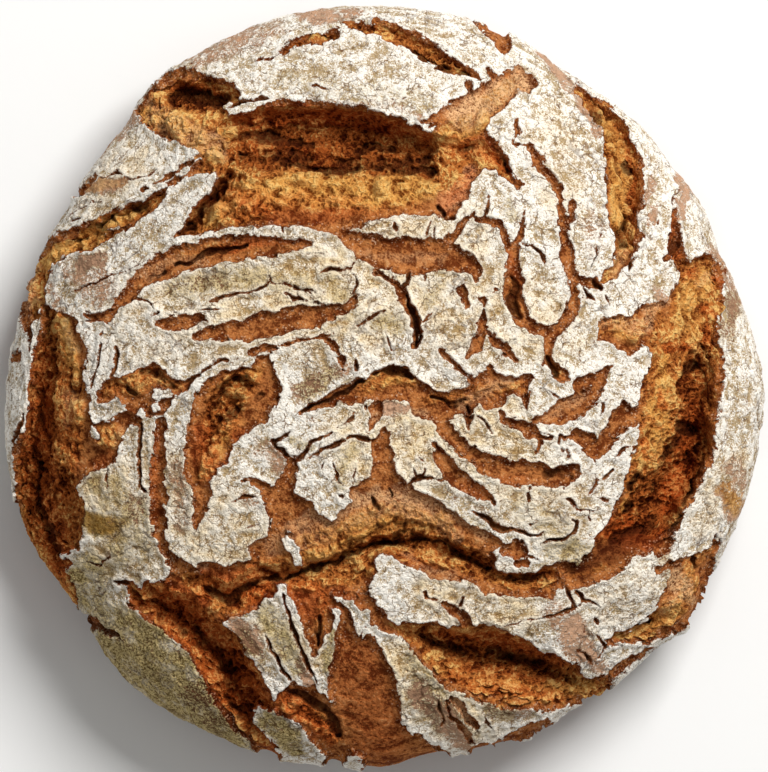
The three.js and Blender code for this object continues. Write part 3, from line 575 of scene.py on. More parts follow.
# %% Cracks across the plates
CRACKS = [
    [(16, -28.5, 0.2), (15, -30.5, 0.5), (14.5, -32.5, 0.6)],
    [(9, -28, 0.3), (10.5, -30.5, 0.6), (12, -32.5, 0.5)],
    [(-91, 32, 0.5), (-86, 30, 0.7), (-82, 27.5, 0.4)],
    [(100, 61, 0.2), (99.25, 59.5, 1.2), (98.5, 58, 0.4)],
    [(78, 52, 0.2), (77, 47, 0.8), (75, 43, 0.2)],
    [(71, 38, 1), (74, 33, 0.8), (77, 30, 0.1)],
    [(92, 48, 0.2), (90, 44, 1.6), (89.5, 41, 0.3)],
    [(107, 72, 0.4), (105, 67, 1), (105, 64, 0.8)],
    [(-114, 60, 0.8), (-111.5, 61, 0.8), (-109, 62, 0.2)],
    [(-63, 31, 0.4), (-55, 34, 1.5), (-50, 34.5, 1.5), (-43, 36.5, 1.5), (-41, 38.5, 1.5),
     (-41.5, 40.5, 0.3)],
    [(-41, 37, 1), (-37, 37, 1), (-33, 36, 1.2), (-26, 34, 1), (-22, 33.5, 0.2)],
    [(-66, 27.5, 0.3), (-63, 28, 1), (-60, 28.5, 0.3)],
    [(-36, 34, 0.3), (-33, 32, 1), (-27, 30.8, 1), (-17, 29, 1), (-14, 29.5, 0.8)],
    [(-23, 40.5, 0.4), (-20, 42.5, 1.5), (-15, 42, 1.5), (-12, 42.5, 1.5), (-10, 46.5, 0.3)],
    [(-12, 41, 1), (-9, 37, 1), (-11, 33, 1)],
    [(-12, 34, 1), (-9, 32.5, 1), (-3, 34, 0.3)],
    [(-12, 20, 0.3), (-9, 22, 1), (-3, 26, 1), (0, 27.5, 0.2)],
    [(-21, 18.5, 1), (-18.5, 19.75, 1), (-16, 21, 0.3)],
    [(0, 20, 0.3), (1, 17, 1), (2, 13, 0.3)],
    [(-72, 0, 2.5), (-68, 3.5, 1.5), (-65, 6, 1), (-60, 8.5, 1), (-56, 9, 1), (-50, 10, 0.3)],
    [(-29, 48, 0.3), (-25.5, 47.75, 1), (-22, 47.5, 0.3)],
    [(-38, 59, 1.5), (-37.5, 57, 1.5), (-37, 55, 0.4)],
    [(-10.5, 10, 0.4), (-10.25, 8, 1.2), (-10, 6, 0.3)],
    [(9, 42, 2), (8, 38, 1.6), (7, 36, 1.5)],
    [(15, 40, 1), (14.75, 39, 1), (14.5, 38, 0.3)],
    [(19, 28, 0.3), (17, 25.5, 1), (14, 23, 1)],
    [(38.5, 70, 0.3), (38, 66, 1), (36.5, 62, 1)],
    [(50.5, 52.5, 0.3), (54, 51, 1), (57, 48, 1), (58.5, 45, 0.2)],
    [(46, 15.5, 0.3), (47, 16.25, 1), (48, 17, 0.3)],
    [(-112, 34, 0.1), (-109, 37, 0.6), (-104, 38, 0.6), (-99, 39.5, 0.6), (-94, 41.5, 0.6), (-86, 46.5, 0.5)],
    [(-102, 20, 0.2), (-102.5, 15, 1.1), (-103.5, 9, 1.3), (-105, 2, 1), (-106, -3, 0.8)],
    [(-98, 16, 0.2), (-97, 12, 1.2), (-97.5, 8, 1.2), (-98.5, 3, 1.4)],
    [(-85, 26, 0.3), (-83.5, 26.75, 1), (-82, 27.5, 0.8)],
    [(-115, 61, 0.4), (-110, 65.5, 0.5), (-105, 67.5, 0.5), (-100, 68.3, 0.1)],
    [(-109, 76.5, 0.1), (-104, 77.5, 0.6), (-101, 76, 0.6), (-97, 78, 0.6), (-94, 76, 0.8), (-91, 74.5, 0.8),
     (-86, 76.5, 0.7), (-82, 79, 0.1)],
    [(-27, 109.5, 0.1), (-22, 108.5, 0.9), (-18, 108, 0.1)],
    [(1, 104.8, 0.1), (5, 105, 1), (11, 104.6, 0.2)],
    [(-57, 102, 1), (-50, 104, 2), (-45, 105.3, 1.6), (-40, 105.2, 0.3)],
    [(80.5, 33, 0.3), (81, 31, 1), (81.5, 29, 0.3)],
    [(78.5, 57, 0.3), (78.5, 55.5, 1), (78.5, 54, 0.3)],
    [(19.5, 68, 2), (21, 64, 2), (22.5, 61, 2), (25, 61, 1.5)],
    [(4, 60, 0.4), (4.25, 58.5, 1.2), (4.5, 57, 0.4)],
    [(17, 59, 0.4), (16.5, 57, 1.2), (16, 55, 1.2)],
    [(19, 57.5, 0.4), (18.75, 55.75, 1.2), (18.5, 54, 1.2)],
    [(-88, -13, 2), (-88.5, -20, 2), (-89, -25, 1.4), (-89, -30, 1), (-89, -36, 1), (-86, -39, 0.8)],
    [(-100, -30, 1), (-101, -35, 1.2), (-99.5, -40, 0.2)],
    [(-110, -65, 0.3), (-104, -65, 0.9), (-102, -63, 1.2), (-98, -62, 1.2), (-95, -63, 0.3)],
    [(-98, -71, 0.6), (-94, -71.5, 2.5), (-91, -73, 3)],
    [(-33.5, -14, 0.5), (-36, -17, 1.8), (-39, -20, 1.6)],
    [(-40, -20, 1.5), (-39, -22, 1.5), (-37, -23, 1.5), (-34, -25, 1.8), (-32, -26.5, 2)],
    [(-32, -27, 2.5), (-30, -25, 2.5), (-28, -22.5, 2.5), (-26, -20, 2), (-23, -18.5, 1.8), (-20, -17.5, 1.2),
     (-18, -16.5, 0.8)],
    [(-27, -26, 0.4), (-24, -24.5, 1.5), (-20, -22, 1.6), (-17, -20.5, 2), (-14, -19.5, 1.5),
     (-11, -18.5, 1.8), (-6, -19.5, 2)],
    [(-10.5, -10, 0.3), (-11, -12, 0.9), (-13, -14, 1), (-16, -15, 0.2)],
    [(-17, -17, 0.8), (-16.75, -17.75, 0.8), (-16.5, -18.5, 0.2)],
    [(-21.5, -27, 0.3), (-21.75, -28.5, 1), (-22, -30, 0.3)],
    [(-19, -28, 0.2), (-17.5, -32, 0.8), (-16, -35, 0.8), (-14.5, -36.5, 0.3)],
    [(-10.5, -30, 0.2), (-11.5, -33, 0.9), (-10.5, -35, 0.8)],
    [(-16, -40.5, 0.3), (-15, -40.35, 1), (-14, -40.2, 0.3)],
    [(-55, -42, 0.2), (-50, -41, 1), (-45, -40.5, 1)],
    [(-52, -52, 0.3), (-48, -51, 1), (-46, -50, 0.3)],
    [(7.5, -13, 0.2), (8, -17, 1), (9, -19, 0.2)],
    [(13, -26, 0.3), (14, -26.75, 1), (15, -27.5, 0.3)],
    [(7.5, -37, 1.2), (11, -34.5, 1.9), (14, -33.3, 1.9), (17, -33.4, 1.5), (20, -34.4, 1),
     (22.5, -33.6, 0.8)],
    [(33, -11, 0.9), (36, -13.5, 1), (38, -15.5, 1), (40, -17.5, 0.2)],
    [(60, -2, 0.3), (61.5, -3.25, 1), (63, -4.5, 0.3)],
    [(64, -19, 1.4), (63.5, -22, 1), (65, -24, 1)],
    [(76, -26, 1.5), (76.5, -28, 1.5), (77, -30, 0.3)],
    [(77, -32, 0.5), (77.2, -35, 1.5), (76, -38, 1.4), (74, -40, 0.3)],
    [(83, -30, 0.3), (81, -32.5, 1.1), (79.5, -34, 0.3)],
    [(64, -40.5, 0.3), (67, -41, 1.3), (68.5, -43, 1.4), (70, -45, 1.2), (73, -45.5, 1), (75, -46, 1),
     (79, -45.5, 0.3)],
    [(74, -46, 1), (74, -48, 1.3), (76, -50, 0.3)],
    [(77, -41, 0.2), (79.5, -41.5, 0.7), (82, -42, 0.2)],
    [(52.5, -37, 2), (52, -39, 1.2), (53, -42, 1.2), (52.5, -43.5, 0.3)],
    [(38, -41.5, 0.9), (39.25, -42, 0.9), (40.5, -42.5, 0.9)],
    [(32, -45.5, 0.2), (35, -47, 2), (38, -48.5, 2.5), (41, -50.5, 2.5), (44, -52, 2.5), (47, -52, 1.5),
     (50, -52.5, 2), (53, -54, 2), (56, -54.5, 1), (58, -53, 0.3)],
    [(56, -58.5, 0.3), (59, -56.5, 1.5), (62, -55.5, 1.5), (66, -54.5, 1.5), (69, -52.5, 1.5), (70, -50, 1.5),
     (68, -48.5, 0.3)],
    [(53, -50, 0.2), (56, -49, 0.6), (60, -48.5, 0.2)],
    [(50, -56, 1), (51, -58, 1), (50.5, -60, 1)],
    [(53, -62.5, 0.8), (55, -63, 0.8), (57, -63.5, 0.2)],
    [(66, -22.5, 0.6), (66.5, -24.5, 0.8), (67, -26, 0.3)],
    [(81, -4, 0.3), (80, -6, 0.9), (79, -9, 1.1), (78, -12, 0.3)],
    [(84, -25, 0.2), (87, -23, 0.7), (89, -22, 0.2)],
    [(-36.5, -76, 0.9), (-36, -80, 1.3), (-34.5, -84, 1.7), (-33, -88, 2), (-31, -93, 1.8), (-29.5, -97, 2),
     (-27.5, -101, 1.9), (-26, -105, 1.3), (-25, -109, 0.9)],
    [(-43, -91, 0.6), (-41, -96, 1.1), (-38.5, -99, 1.5), (-36.5, -103, 1.6), (-34, -107, 2)],
    [(29, -77, 0.2), (28.25, -78.75, 0.9), (27.5, -80.5, 0.9)],
    [(44, -87, 0.2), (47, -86.5, 1), (52, -86, 1), (57, -85, 1.2), (62, -83.5, 1.4), (66, -82, 1.5),
     (69, -80.5, 1.5), (71, -79.5, 0.4)],
    [(66, -72, 2), (67, -75, 1.8), (68, -78, 1.6), (69, -80, 1.2)],
    [(70, -75, 1.5), (72, -78, 1.5), (75, -79, 1.2), (79, -80, 0.4)],
    [(76, -84, 0.4), (76.75, -85.5, 1.5), (77.5, -87, 0.4)],
    [(73, -87, 0.2), (73, -88.5, 0.8), (73, -90, 0.2)],
    [(75, -90, 0.3), (78, -92, 1.5), (80, -95, 1.5), (79, -97, 1.2), (77, -99.5, 0.3)],
    [(70, -95.5, 0.3), (73, -97, 1.4), (75, -100, 1.5), (76, -102, 0.3)],
    [(36, -121, 0.3), (38, -124, 1.2), (40, -127, 0.3)],
    [(19, -113, 0.3), (20, -117, 1.5), (21.5, -121, 1.5), (20, -124, 0.4)],
    [(-131, -10, 0.8), (-132.5, -15, 2), (-134.5, -20, 2.5)],
    [(-129, 25, 3), (-129, 18, 2.5), (-129, 12, 0.6)],
    [(-111, -83, 1.2), (-106, -87, 4), (-102, -89, 3), (-97, -91, 2), (-94, -94, 0.3)],
    [(-22, -138, 2), (-18, -137, 3), (-14, -135.5, 2), (-11, -133, 1.5)],
    [(41, 129, 2), (42, 126, 2), (43.5, 122.5, 1.5)],
]
print(len(CRACKS), "cracks")

# %% How far a point lies from the skin's edge
CRACK_CLOSING = 0.32  # mm that a crack's sides close by, more in some places than in others
CHIP_SIZE = 3.2  # the skin breaks in angular chips of about this size


def skin_edge(points):
    """Distance from the edge of the floured skin, above 0 on the plates and below 0 on bare crust, and a
    share that is 1 in a crack. Noise and chips make the edge ragged, less so along cracks, which stay
    thin."""
    x, y, _ = wander(points, 0.5, 15).T
    edge = np.full(x.shape, FAR)
    for outline in BARE.values():
        edge = np.minimum(edge, patch_distance(x, y, outline))
    for rows in BANDS:
        edge = np.minimum(edge, stroke_distance(x, y, rows))
    for outline in SCRAPS:
        edge = np.maximum(edge, -patch_distance(x, y, outline))
    x, y, _ = wander(points, 0.8, 27).T
    cracks = np.full(x.shape, FAR)
    for rows in CRACKS:
        cracks = np.minimum(cracks, stroke_distance(x, y, rows))
    ragged = 0.55 * noise(points, 3.6, 21) + 0.4 * noise(points, 1.6, 22)
    ragged = ragged + 0.6 * scattered(wander(points, 0.4, 8), CHIP_SIZE, 25)[2]
    cracks = cracks + CRACK_CLOSING * (1 + 0.9 * noise(points, 5.0, 23)) + 0.35 * ragged
    in_crack = smooth(0.5 - cracks) * smooth((cracks + 1.2) / 0.7) * smooth(edge + 0.5)
    return np.clip(np.minimum(edge + ragged, cracks), -FAR, FAR), in_crack


print(len(BARE) + len(BANDS) + len(CRACKS), "marks cut the skin")

# %% [markdown]
# ## Ledges and hollows
# Torn crumb breaks off in steps and leaves deep holes, which are painted dark as shade. A ledge has an
# outline, but holes have no sharp edge, so their strokes fade out to the sides. A depth image could be
# painted instead, but strokes in mm suit a mesh of any fineness, and the same kind of stroke can carry a tone
# later.

# %% Ledges: outlines of places where the crumb tore off and lies a step lower
LEDGES = {
    "crown_south": [
        (-14, -59), (-8, -55.5), (-3, -51), (4, -48.5), (12, -48), (18, -50), (23, -54), (27, -59), (31, -63),
        (38, -66), (31, -67), (24, -63), (18, -59.5), (10, -57.5), (2, -57.5), (-5, -59), (-14, -62),
    ],
    "east": [
        (109, 9), (112, 11), (116, 14), (118, 10), (118.5, 0), (119, -10), (119, -20), (117, -29), (113, -37),
        (108, -44), (104, -51), (98, -56), (90, -58), (82, -58), (80, -54), (84, -48), (89, -43), (92, -41),
        (90.5, -37), (91, -32), (94, -30.5), (98, -29), (101, -26), (103, -22), (106, -18), (107, -15),
        (107, -8), (106.5, -3), (108, 2), (108, 6),
    ],
    "north": [
        (-57, 82), (-50, 80), (-44, 79.5), (-38, 80.5), (-31, 81), (-29, 78.5), (-20, 76.5), (-12, 76),
        (-9, 79), (-5, 78), (0, 76.5), (10, 76), (18, 76.5), (20, 79), (18, 85), (14, 90), (8, 93), (0, 95.5),
        (-10, 97), (-20, 98), (-30, 98), (-40, 97), (-48, 96), (-54, 94), (-57, 90), (-59, 86),
    ],
    "north_west_cave": [
        (-81, 109), (-76, 112), (-70, 111), (-63, 109), (-57, 105), (-57, 101.5), (-62, 100.5), (-70, 102.5),
        (-77, 104),
    ],
    "north_west_slot": [
        (-77, 55), (-71, 56), (-66, 60), (-62, 65), (-58, 71), (-54, 76.5), (-57, 78), (-62, 74), (-67, 68),
        (-72, 62),
    ],
    "west_block": [
        (-119, -33), (-110.5, -31), (-108, -45), (-110.5, -59), (-121, -56), (-124, -50), (-121.5, -45),
        (-120, -38),
    ],
    "west": [
        (-122, 12), (-120, 4), (-121, -6), (-122, -16), (-121, -28), (-122, -40), (-126, -50), (-118, -60),
        (-113, -68), (-118, -74), (-124, -66), (-126.5, -56), (-128.5, -44), (-129, -30), (-129, -18),
        (-129, -6), (-127, 6), (-126, 14),
    ],
    "south_west": [
        (-90, -76), (-84, -77), (-76, -79), (-70, -83), (-64, -89), (-58, -96), (-53, -103), (-49, -110),
        (-47, -118), (-50, -124), (-54, -122), (-57, -114), (-61, -106), (-66, -99), (-72, -92), (-80, -86),
        (-88, -81),
    ],
    "south_east": [
        (8, -90), (16, -91), (24, -93), (30, -96), (34, -96), (42, -95), (50, -97), (57, -99), (64, -103),
        (70, -106), (68, -109), (60, -106), (52, -104), (44, -103), (36, -102), (28, -102), (22, -99),
        (15, -96),
    ],
    "crown_bowl": [
        (-66, -6), (-60, -2), (-55, 3), (-49, 2), (-52, -3), (-57, -9), (-61, -16), (-64, -26), (-67, -26),
        (-67, -16),
    ],
}

print(len(LEDGES), "ledges")

# %% Strokes with a soft edge
def soft_marks(x, y, strokes):
    """0 to 1 over strokes of (x, y, width, strength): full strength on the line, none at the width's edge."""
    value = np.zeros(x.shape)
    for rows in strokes:
        for start, end in zip(rows[:-1], rows[1:]):
            i = near(x, y, start, end, max(start[2], end[2]) / 2)
            along, off, _ = beside(x[i], y[i], start, end)
            width = start[2] + along * (end[2] - start[2])
            strength = start[3] + along * (end[3] - start[3])
            value[i] = np.maximum(value[i], strength * smooth(1.6 - 1.6 * off / (width / 2)))
    return value


one_stroke = [[(-5, 0, 2, 0.5), (5, 0, 2, 0.5)]]
print("on a stroke of strength 0.5:", soft_marks(here, here, one_stroke))

# %% Deep holes in the tears, painted dark as shade, as (x, y, width, strength)
HOLLOWS = [
    [(-80, -83, 8, 0.4), (-70, -90, 8, 0.45), (-62, -98, 7, 0.4)],
    [(-80, -76, 10, 0.35), (-68, -74, 8, 0.3)],
    [(-56, -110, 7, 0.3), (-51, -118, 8, 0.4), (-46, -126, 6, 0.35)],
    [(-31, -9.5, 1.6, 0.8), (-26, -7, 2, 0.9), (-19, -3.5, 2.4, 1), (-14, -1, 2, 1), (-8, 2.2, 1.6, 0.8)],
    [(-4.5, -41, 2, 0.6), (-3.5, -43, 2.6, 0.7), (-3, -46, 2.2, 0.6)],
    [(1, -37, 1.4, 0.5), (2, -41, 1.8, 0.6)],
    [(4, -54, 3, 0.6), (10, -54, 4, 0.6), (18, -56, 3, 0.6)],
    [(-38, 82, 3, 0.7), (-30, 80, 3.4, 0.8), (-20, 78.5, 3.4, 0.9), (-10, 79.5, 3.4, 0.8), (0, 79, 3.4, 0.9),
     (10, 78.5, 3.4, 0.9), (17, 78.5, 3, 0.8)],
    [(-52, 91, 5, 0.5), (-42, 91, 8, 0.9), (-38, 89, 7, 0.8)],
    [(-34, 89, 5, 0.9), (-26, 88.5, 5, 0.9)],
    [(-9, 86, 4, 0.8), (-3, 87, 5, 0.9), (3, 86.5, 4, 0.8)],
    [(-24, 79, 4, 0.7), (-17, 79.5, 5, 0.8), (-12, 79, 3, 0.6)],
    [(6, 80, 4, 0.7), (12, 79, 5, 0.9), (17, 78, 4, 0.8)],
    [(-52, 84, 5, 0.5), (-40, 85, 8, 0.65), (-28, 83, 8, 0.6)],
    [(-16, 82, 7, 0.7), (-4, 81.5, 8, 0.75), (8, 81.5, 8, 0.8), (15, 82, 6, 0.7)],
    [(-75, 56.5, 3, 0.8), (-70, 59.5, 5, 0.8), (-65, 65, 4.5, 0.7), (-61, 70, 3, 0.5)],
    [(-78, 108, 7, 0.7), (-68, 106, 9, 1), (-60, 105, 9, 1)],
    [(-127, -34, 5, 0.4), (-126, -44, 7, 0.7), (-123, -54, 7, 0.7), (-118, -66, 6, 0.6)],
    [(-125, -2, 4, 0.4), (-127, -16, 5, 0.5), (-127, -30, 6, 0.5)],
    [(-94, -1, 5, 0.8), (-91, -2, 4, 0.7)],
    [(-86, 5, 6, 0.6), (-82, 4, 6, 0.7), (-77, -1, 5, 0.7)],
    [(-50, 3, 4, 0.4), (-56, 0, 5, 0.55), (-62, -8, 5, 0.6)],
    [(-44, -3, 5, 0.5), (-52, -8, 4, 0.6), (-60, -14, 4, 0.5)],
    [(108, -15, 6, 1), (113, -17, 7, 1)],
    [(116, -24, 5, 0.5), (110, -30, 6, 0.5)],
    [(98, -50, 8, 0.6), (90, -54, 7, 0.8), (84, -56, 6, 0.7)],
    [(103, -25, 5, 0.7), (108, -20, 6, 0.8)],
    [(91.5, -33, 3, 1), (91.5, -38, 3.4, 1)],
    [(87, -46, 3, 0.8), (90, -44, 4, 0.9)],
    [(110, 5, 6, 1), (113, 7, 8, 1)],
    [(104, -54, 3, 0.8), (112, -38, 3, 0.7), (118, -26, 2.5, 0.6)],
    [(14, -93, 3, 0.4), (22, -95, 5, 0.6), (29, -98, 5, 0.6)],
    [(38, -97, 4, 0.6), (46, -99, 6, 0.7), (56, -102, 6, 0.7)],
    [(66, -107, 4, 0.5), (70, -109, 4, 0.5)],
    [(-88, -77, 3, 0.4), (-80, -80, 4, 0.6)],
    [(-66, -91, 4, 0.6), (-60, -100, 5, 0.7), (-57, -105, 4, 0.6)],
    [(-57, -113, 3, 0.6), (-53, -119, 4, 0.8), (-51, -122, 3, 0.6)],
    [(-64, -76, 6, 0.7), (-56, -79, 6, 0.9), (-50, -74, 5, 0.9)],
    [(-50, -73, 4, 0.9), (-43, -70, 3, 0.8), (-36, -69.5, 2.4, 0.9), (-24, -67.5, 2.4, 0.8),
     (-15, -62.5, 2.2, 0.9), (-5, -58, 2.2, 0.9), (4, -56, 2.4, 0.9), (12, -56, 3, 0.8), (24, -57, 3, 0.7),
     (29, -64, 3, 0.7), (38, -67, 2.4, 0.7)],
    [(46, -70, 5, 0.7), (58, -70, 5, 0.7)],
    [(-38, -111, 4, 0.7), (-30, -114, 5, 0.9), (-22, -120, 5, 0.9), (-18, -128, 5, 0.8)],
    [(-24, -84, 3, 0.6), (-24.5, -94, 3, 0.9)],
    [(95, -88, 2.5, 0.7), (98.5, -86.5, 3, 1)],
    [(113, -63, 2.5, 0.9), (116, -66, 2.5, 0.8)],
    [(-5, 5, 4, 0.8), (2, 5.5, 4.5, 1), (10, 4.5, 5, 1), (13, 5, 3, 0.8)],
    [(9, 32, 3, 0.8), (12, 24, 3.5, 1), (12.5, 18, 3, 1), (11, 14, 2, 0.8)],
    [(47, 38, 4, 0.8), (47, 30, 6, 1), (49, 24, 4, 0.7)],
    [(66, -33, 8, 0.5), (60, -33, 8, 0.5)],
    [(59, 10, 4, 0.9), (63, 6, 5, 0.9)],
    [(77, 38, 4, 0.9), (78, 35, 4, 0.9)],
    [(40, 88, 4, 0.6), (46, 79, 5, 0.7)],
    [(27, 84, 4, 0.6), (32, 88, 4, 0.5), (35, 84, 3, 0.5)],
    [(21, 64, 3, 0.8), (22, 61, 3, 0.8)],
    [(75, 105, 6, 0.7), (79, 95, 3, 0.6)],
    [(87, 62, 5, 0.5), (87, 52, 6, 0.6)],
    [(88, 81, 5, 0.8), (90, 78, 4, 0.8)],
    [(-115, 53, 3, 0.6), (-110, 55, 3, 0.6)],
    [(-104, 58.5, 4, 0.8), (-99, 61, 4, 0.8)],
    [(-91, 65, 4, 0.8), (-88, 67, 3, 0.6)],
    [(-28, 126.5, 3, 0.5), (-20, 127, 3, 0.6)],
    [(12, 121, 6, 0.8), (20, 117, 6, 0.7), (30, 114, 4, 0.7)],
    [(106, 57, 3, 0.7), (106, 48, 4, 0.8)],
    [(-75, 44.5, 2, 0.9), (-70, 46, 2, 0.8), (-66, 48.5, 3, 1), (-60, 49.5, 2.5, 0.9), (-54, 50, 2, 0.8),
     (-50, 51.5, 1.5, 0.8)],
    [(-80, 42, 2, 0.5), (-86, 38, 2, 0.5)],
    [(17, -4, 3, 0.8), (24, -7, 3, 0.9), (30, -5, 2, 0.7)],
    [(30, -8, 2.5, 0.7), (31, -14, 2.5, 0.7)],
]
print(len(HOLLOWS), "deep places")

# %% Torn crumb beside the tears, and smooth crust within them
ROUGH = [
    [(-34, -59, 8, 0.5), (-20, -54, 9, 0.6), (-8, -48, 9, 0.65), (6, -45, 9, 0.6), (20, -49, 8, 0.6),
     (28, -55, 6, 0.5)],
    [(112, -66, 8, 0.7), (112, -76, 9, 0.9), (106, -84, 9, 0.9), (97, -89, 6, 0.9), (86, -92, 4, 0.8)],
    [(100, 24, 14, 0.9), (101, 10, 9, 0.9), (98, 0, 9, 0.9), (95, -12, 8, 0.9), (92, -25, 6, 0.8),
     (89, -38, 5, 0.8)],
    [(122, 24, 5, 0.8), (121, 8, 4, 0.8), (119, -18, 4, 0.8), (115, -33, 4, 0.8), (106, -49, 5, 0.8)],
    [(118, 44, 8, 0.9), (120, 34, 7, 0.9)],
    [(20, -111, 4, 0.8), (34, -115, 4, 0.8), (50, -117, 4, 0.8), (68, -115, 6, 0.8)],
    [(-50, 4, 16, 0.9), (-56, -4, 20, 0.9), (-60, -15, 18, 0.9), (-66, -32, 9, 0.7)],
    [(-102, -2, 8, 0.7), (-94, 0, 10, 0.9), (-84, 3, 12, 0.9), (-76, 0, 8, 0.7)],
    [(-46, -66, 10, 0.7), (-28, -64, 8, 0.8), (-12, -57, 8, 0.8), (0, -52, 9, 0.9), (15, -53, 12, 0.9),
     (28, -60, 12, 0.8)],
    [(78, 22, 8, 0.8), (92, 22, 16, 0.9)],
    [(-8, 0, 8, 0.7), (0, 3, 8, 0.8), (10, 3, 8, 0.8)],
    [(17, -5, 8, 0.7), (30, -4, 8, 0.7), (44, 0, 6, 0.7), (53, -2, 6, 0.6)],
    [(22, 90, 14, 0.9), (34, 98, 14, 0.9), (48, 110, 12, 0.8)],
    [(-88, 100, 14, 1), (-76, 96, 16, 1), (-64, 84, 16, 1), (-56, 70, 14, 1), (-56, 62, 10, 1),
     (-20, 72, 10, 1), (18, 73, 9, 1)],
    [(-100, -18, 16, 0.8), (-94, -20, 8, 0.7)],
    [(-60, -80, 14, 0.9), (-48, -70, 10, 0.9)],
    [(-22, -78, 8, 0.6), (-24, -88, 6, 0.6)],
    [(-40, -115, 8, 0.8), (-28, -120, 10, 0.9), (-19, -130, 8, 0.8)],
    [(100, -84, 10, 0.8), (110, -80, 10, 0.8)],
    [(46, 36, 6, 0.5), (48, 28, 8, 0.6)],
    [(64, 6, 6, 0.6), (60, 10, 5, 0.6)],
    [(-124, 44, 10, 0.8), (-128, 28, 8, 0.7)],
    [(108, 46, 8, 0.7), (116, 46, 8, 0.8)],
    [(-74, 49, 6, 0.3), (-60, 50, 6, 0.4), (-45, 50, 5, 0.3)],
    [(118, -60, 8, 0.6), (112, -65, 8, 0.6)],
]
SMOOTH = [
    [(66, -69, 9, 1), (72, -66, 11, 1), (80, -62, 15, 1), (89, -59, 11, 1), (97, -56, 6, 0.7)],
    [(-18, -95, 20, 0.5), (-6, -120, 24, 0.6)],
]
print(len(ROUGH), "torn places,", len(SMOOTH), "smooth ones")

# %% [markdown]
# ## The one surface
# Now the parts come together. A grid covers a square and is carried onto the round crown, ring by ring, so
# no point of it is a pole. Ring spacing tightens towards the rim, where the dome falls away. Each grid
# point gets a place in the plane; the ones nearest to a plate's edge move onto it, so edges are crisp.

# %% The crown's grid
TILES = 3  # tiles across the crown, each a piece of its own
TILE_CELLS = 250
CROWN_SHARE = 0.985  # the crown's grid ends just above the girth
EVEN, TIGHTER = 0.62, 0.38  # parts of the ring spacing that stay even and that tighten outwards
cells = TILES * TILE_CELLS
side = cells + 1


def square_to_disc(a, b):
    """A square's point carried to the disc: the larger of |a|, |b| gives the ring, the other the angle."""
    wide = np.abs(a) > np.abs(b)
    signed, other = np.where(wide, a, b), np.where(wide, b, a)
    turn = np.pi / 4 * np.divide(other, signed, out=np.zeros_like(other), where=signed != 0)
    angle = np.where(wide, turn, np.pi / 2 - turn) + np.where(signed < 0, np.pi, 0)
    ring = np.abs(signed)
    share = CROWN_SHARE * (EVEN * ring + TIGHTER * np.sin(np.pi / 2 * ring))
    return share, angle


line = np.linspace(-1, 1, side)
crown_b, crown_a = np.meshgrid(line, line, indexing="ij")
share, angle = square_to_disc(crown_a.ravel(), crown_b.ravel())
radius = girth_radius(angle)
x, y = share * radius * np.cos(angle), share * radius * np.sin(angle)
middle_row = side * (side // 2)
rim_cell = x[middle_row + 1] - x[middle_row]
print("crown grid:", side, "x", side, "points, the cell at the rim", round(rim_cell, 2), "mm wide")

# %% Points near a plate's edge move onto it
EDGE_REACH = 0.48  # of a cell
LEAST_SLOPE = 0.05


def onto_edge(x, y, edge):
    """One step down the slope of the edge distance, for points less than half a cell away. The slopes are
    differences along the grid, turned into x and y by the inverse of the grid's own slopes."""
    shape = (side, side)
    x_v, x_u = np.gradient(x.reshape(shape))
    y_v, y_u = np.gradient(y.reshape(shape))
    e_v, e_u = np.gradient(edge.reshape(shape))
    area = x_u * y_v - x_v * y_u
    e_x, e_y = (e_u * y_v - e_v * y_u) / area, (e_v * x_u - e_u * x_v) / area
    steep = e_x**2 + e_y**2 + 1e-9
    cell = np.sqrt(np.abs(area))
    e = edge.reshape(shape)
    move = (np.abs(e) < EDGE_REACH * cell * np.sqrt(steep)) & (steep > LEAST_SLOPE)
    move[[0, -1], :] = move[:, [0, -1]] = False
    new_x = np.where(move, x.reshape(shape) - e * e_x / steep, x.reshape(shape))
    new_y = np.where(move, y.reshape(shape) - e * e_y / steep, y.reshape(shape))
    return new_x.ravel(), new_y.ravel(), np.where(move, 0, e).ravel(), int(move.sum())


flat_points = np.stack([x, y, dome_height(share)], axis=1)
edge, in_crack = skin_edge(flat_points)
x, y, edge, moved = onto_edge(x, y, edge)
share = np.hypot(x, y) / girth_radius(np.arctan2(y, x))
print(moved, "points moved onto an edge; bare share of the crown:", round(float((edge < 0).mean()), 2))

# %% The way that channels run: along lines of equal distance, after some blurring
BLURS = 14


def along_edges(x, y, edge):
    """Unit directions square to the slope of the blurred distance."""
    field = edge.reshape(side, side)
    for _ in range(BLURS):
        beside_it = [np.roll(field, step, axis) for axis in (0, 1) for step in (1, -1)]
        field = sum(beside_it, field) / 5
    x_v, x_u = np.gradient(x.reshape(side, side))
    y_v, y_u = np.gradient(y.reshape(side, side))
    e_v, e_u = np.gradient(field)
    way = np.stack([(e_v * x_u - e_u * x_v), -(e_u * y_v - e_v * y_u), 0 * field], axis=-1).reshape(-1, 3)
    return way / np.maximum(np.linalg.norm(way, axis=1, keepdims=True), 1e-9)


channel_way = along_edges(x, y, edge)
print("channels' way found for", len(channel_way), "points")

# %% [markdown]
# ## Height
# The height is read off from large to small: dome and swell, tears, deep hollows, the step from skin to bare
# crust, then crumb, pores and flour. The large forms go straight down, as a tear does. The small ones are
# laid square to the dome, so that the flanks are as rough as the top.

# %% Heights of the large forms
PLATE_SWELL = 1.3
PLATE_SIZE = 34.0
LOWEST_TEAR = 9.0
HOLLOW_DEPTH = 3.0
LEDGE_DROP = 3.2
SUNK_SHARE = 0.2  # share of a tear's depth that a plate over it sinks by
DEEPEST = 22.0  # mm, for the tone that darkens the depths


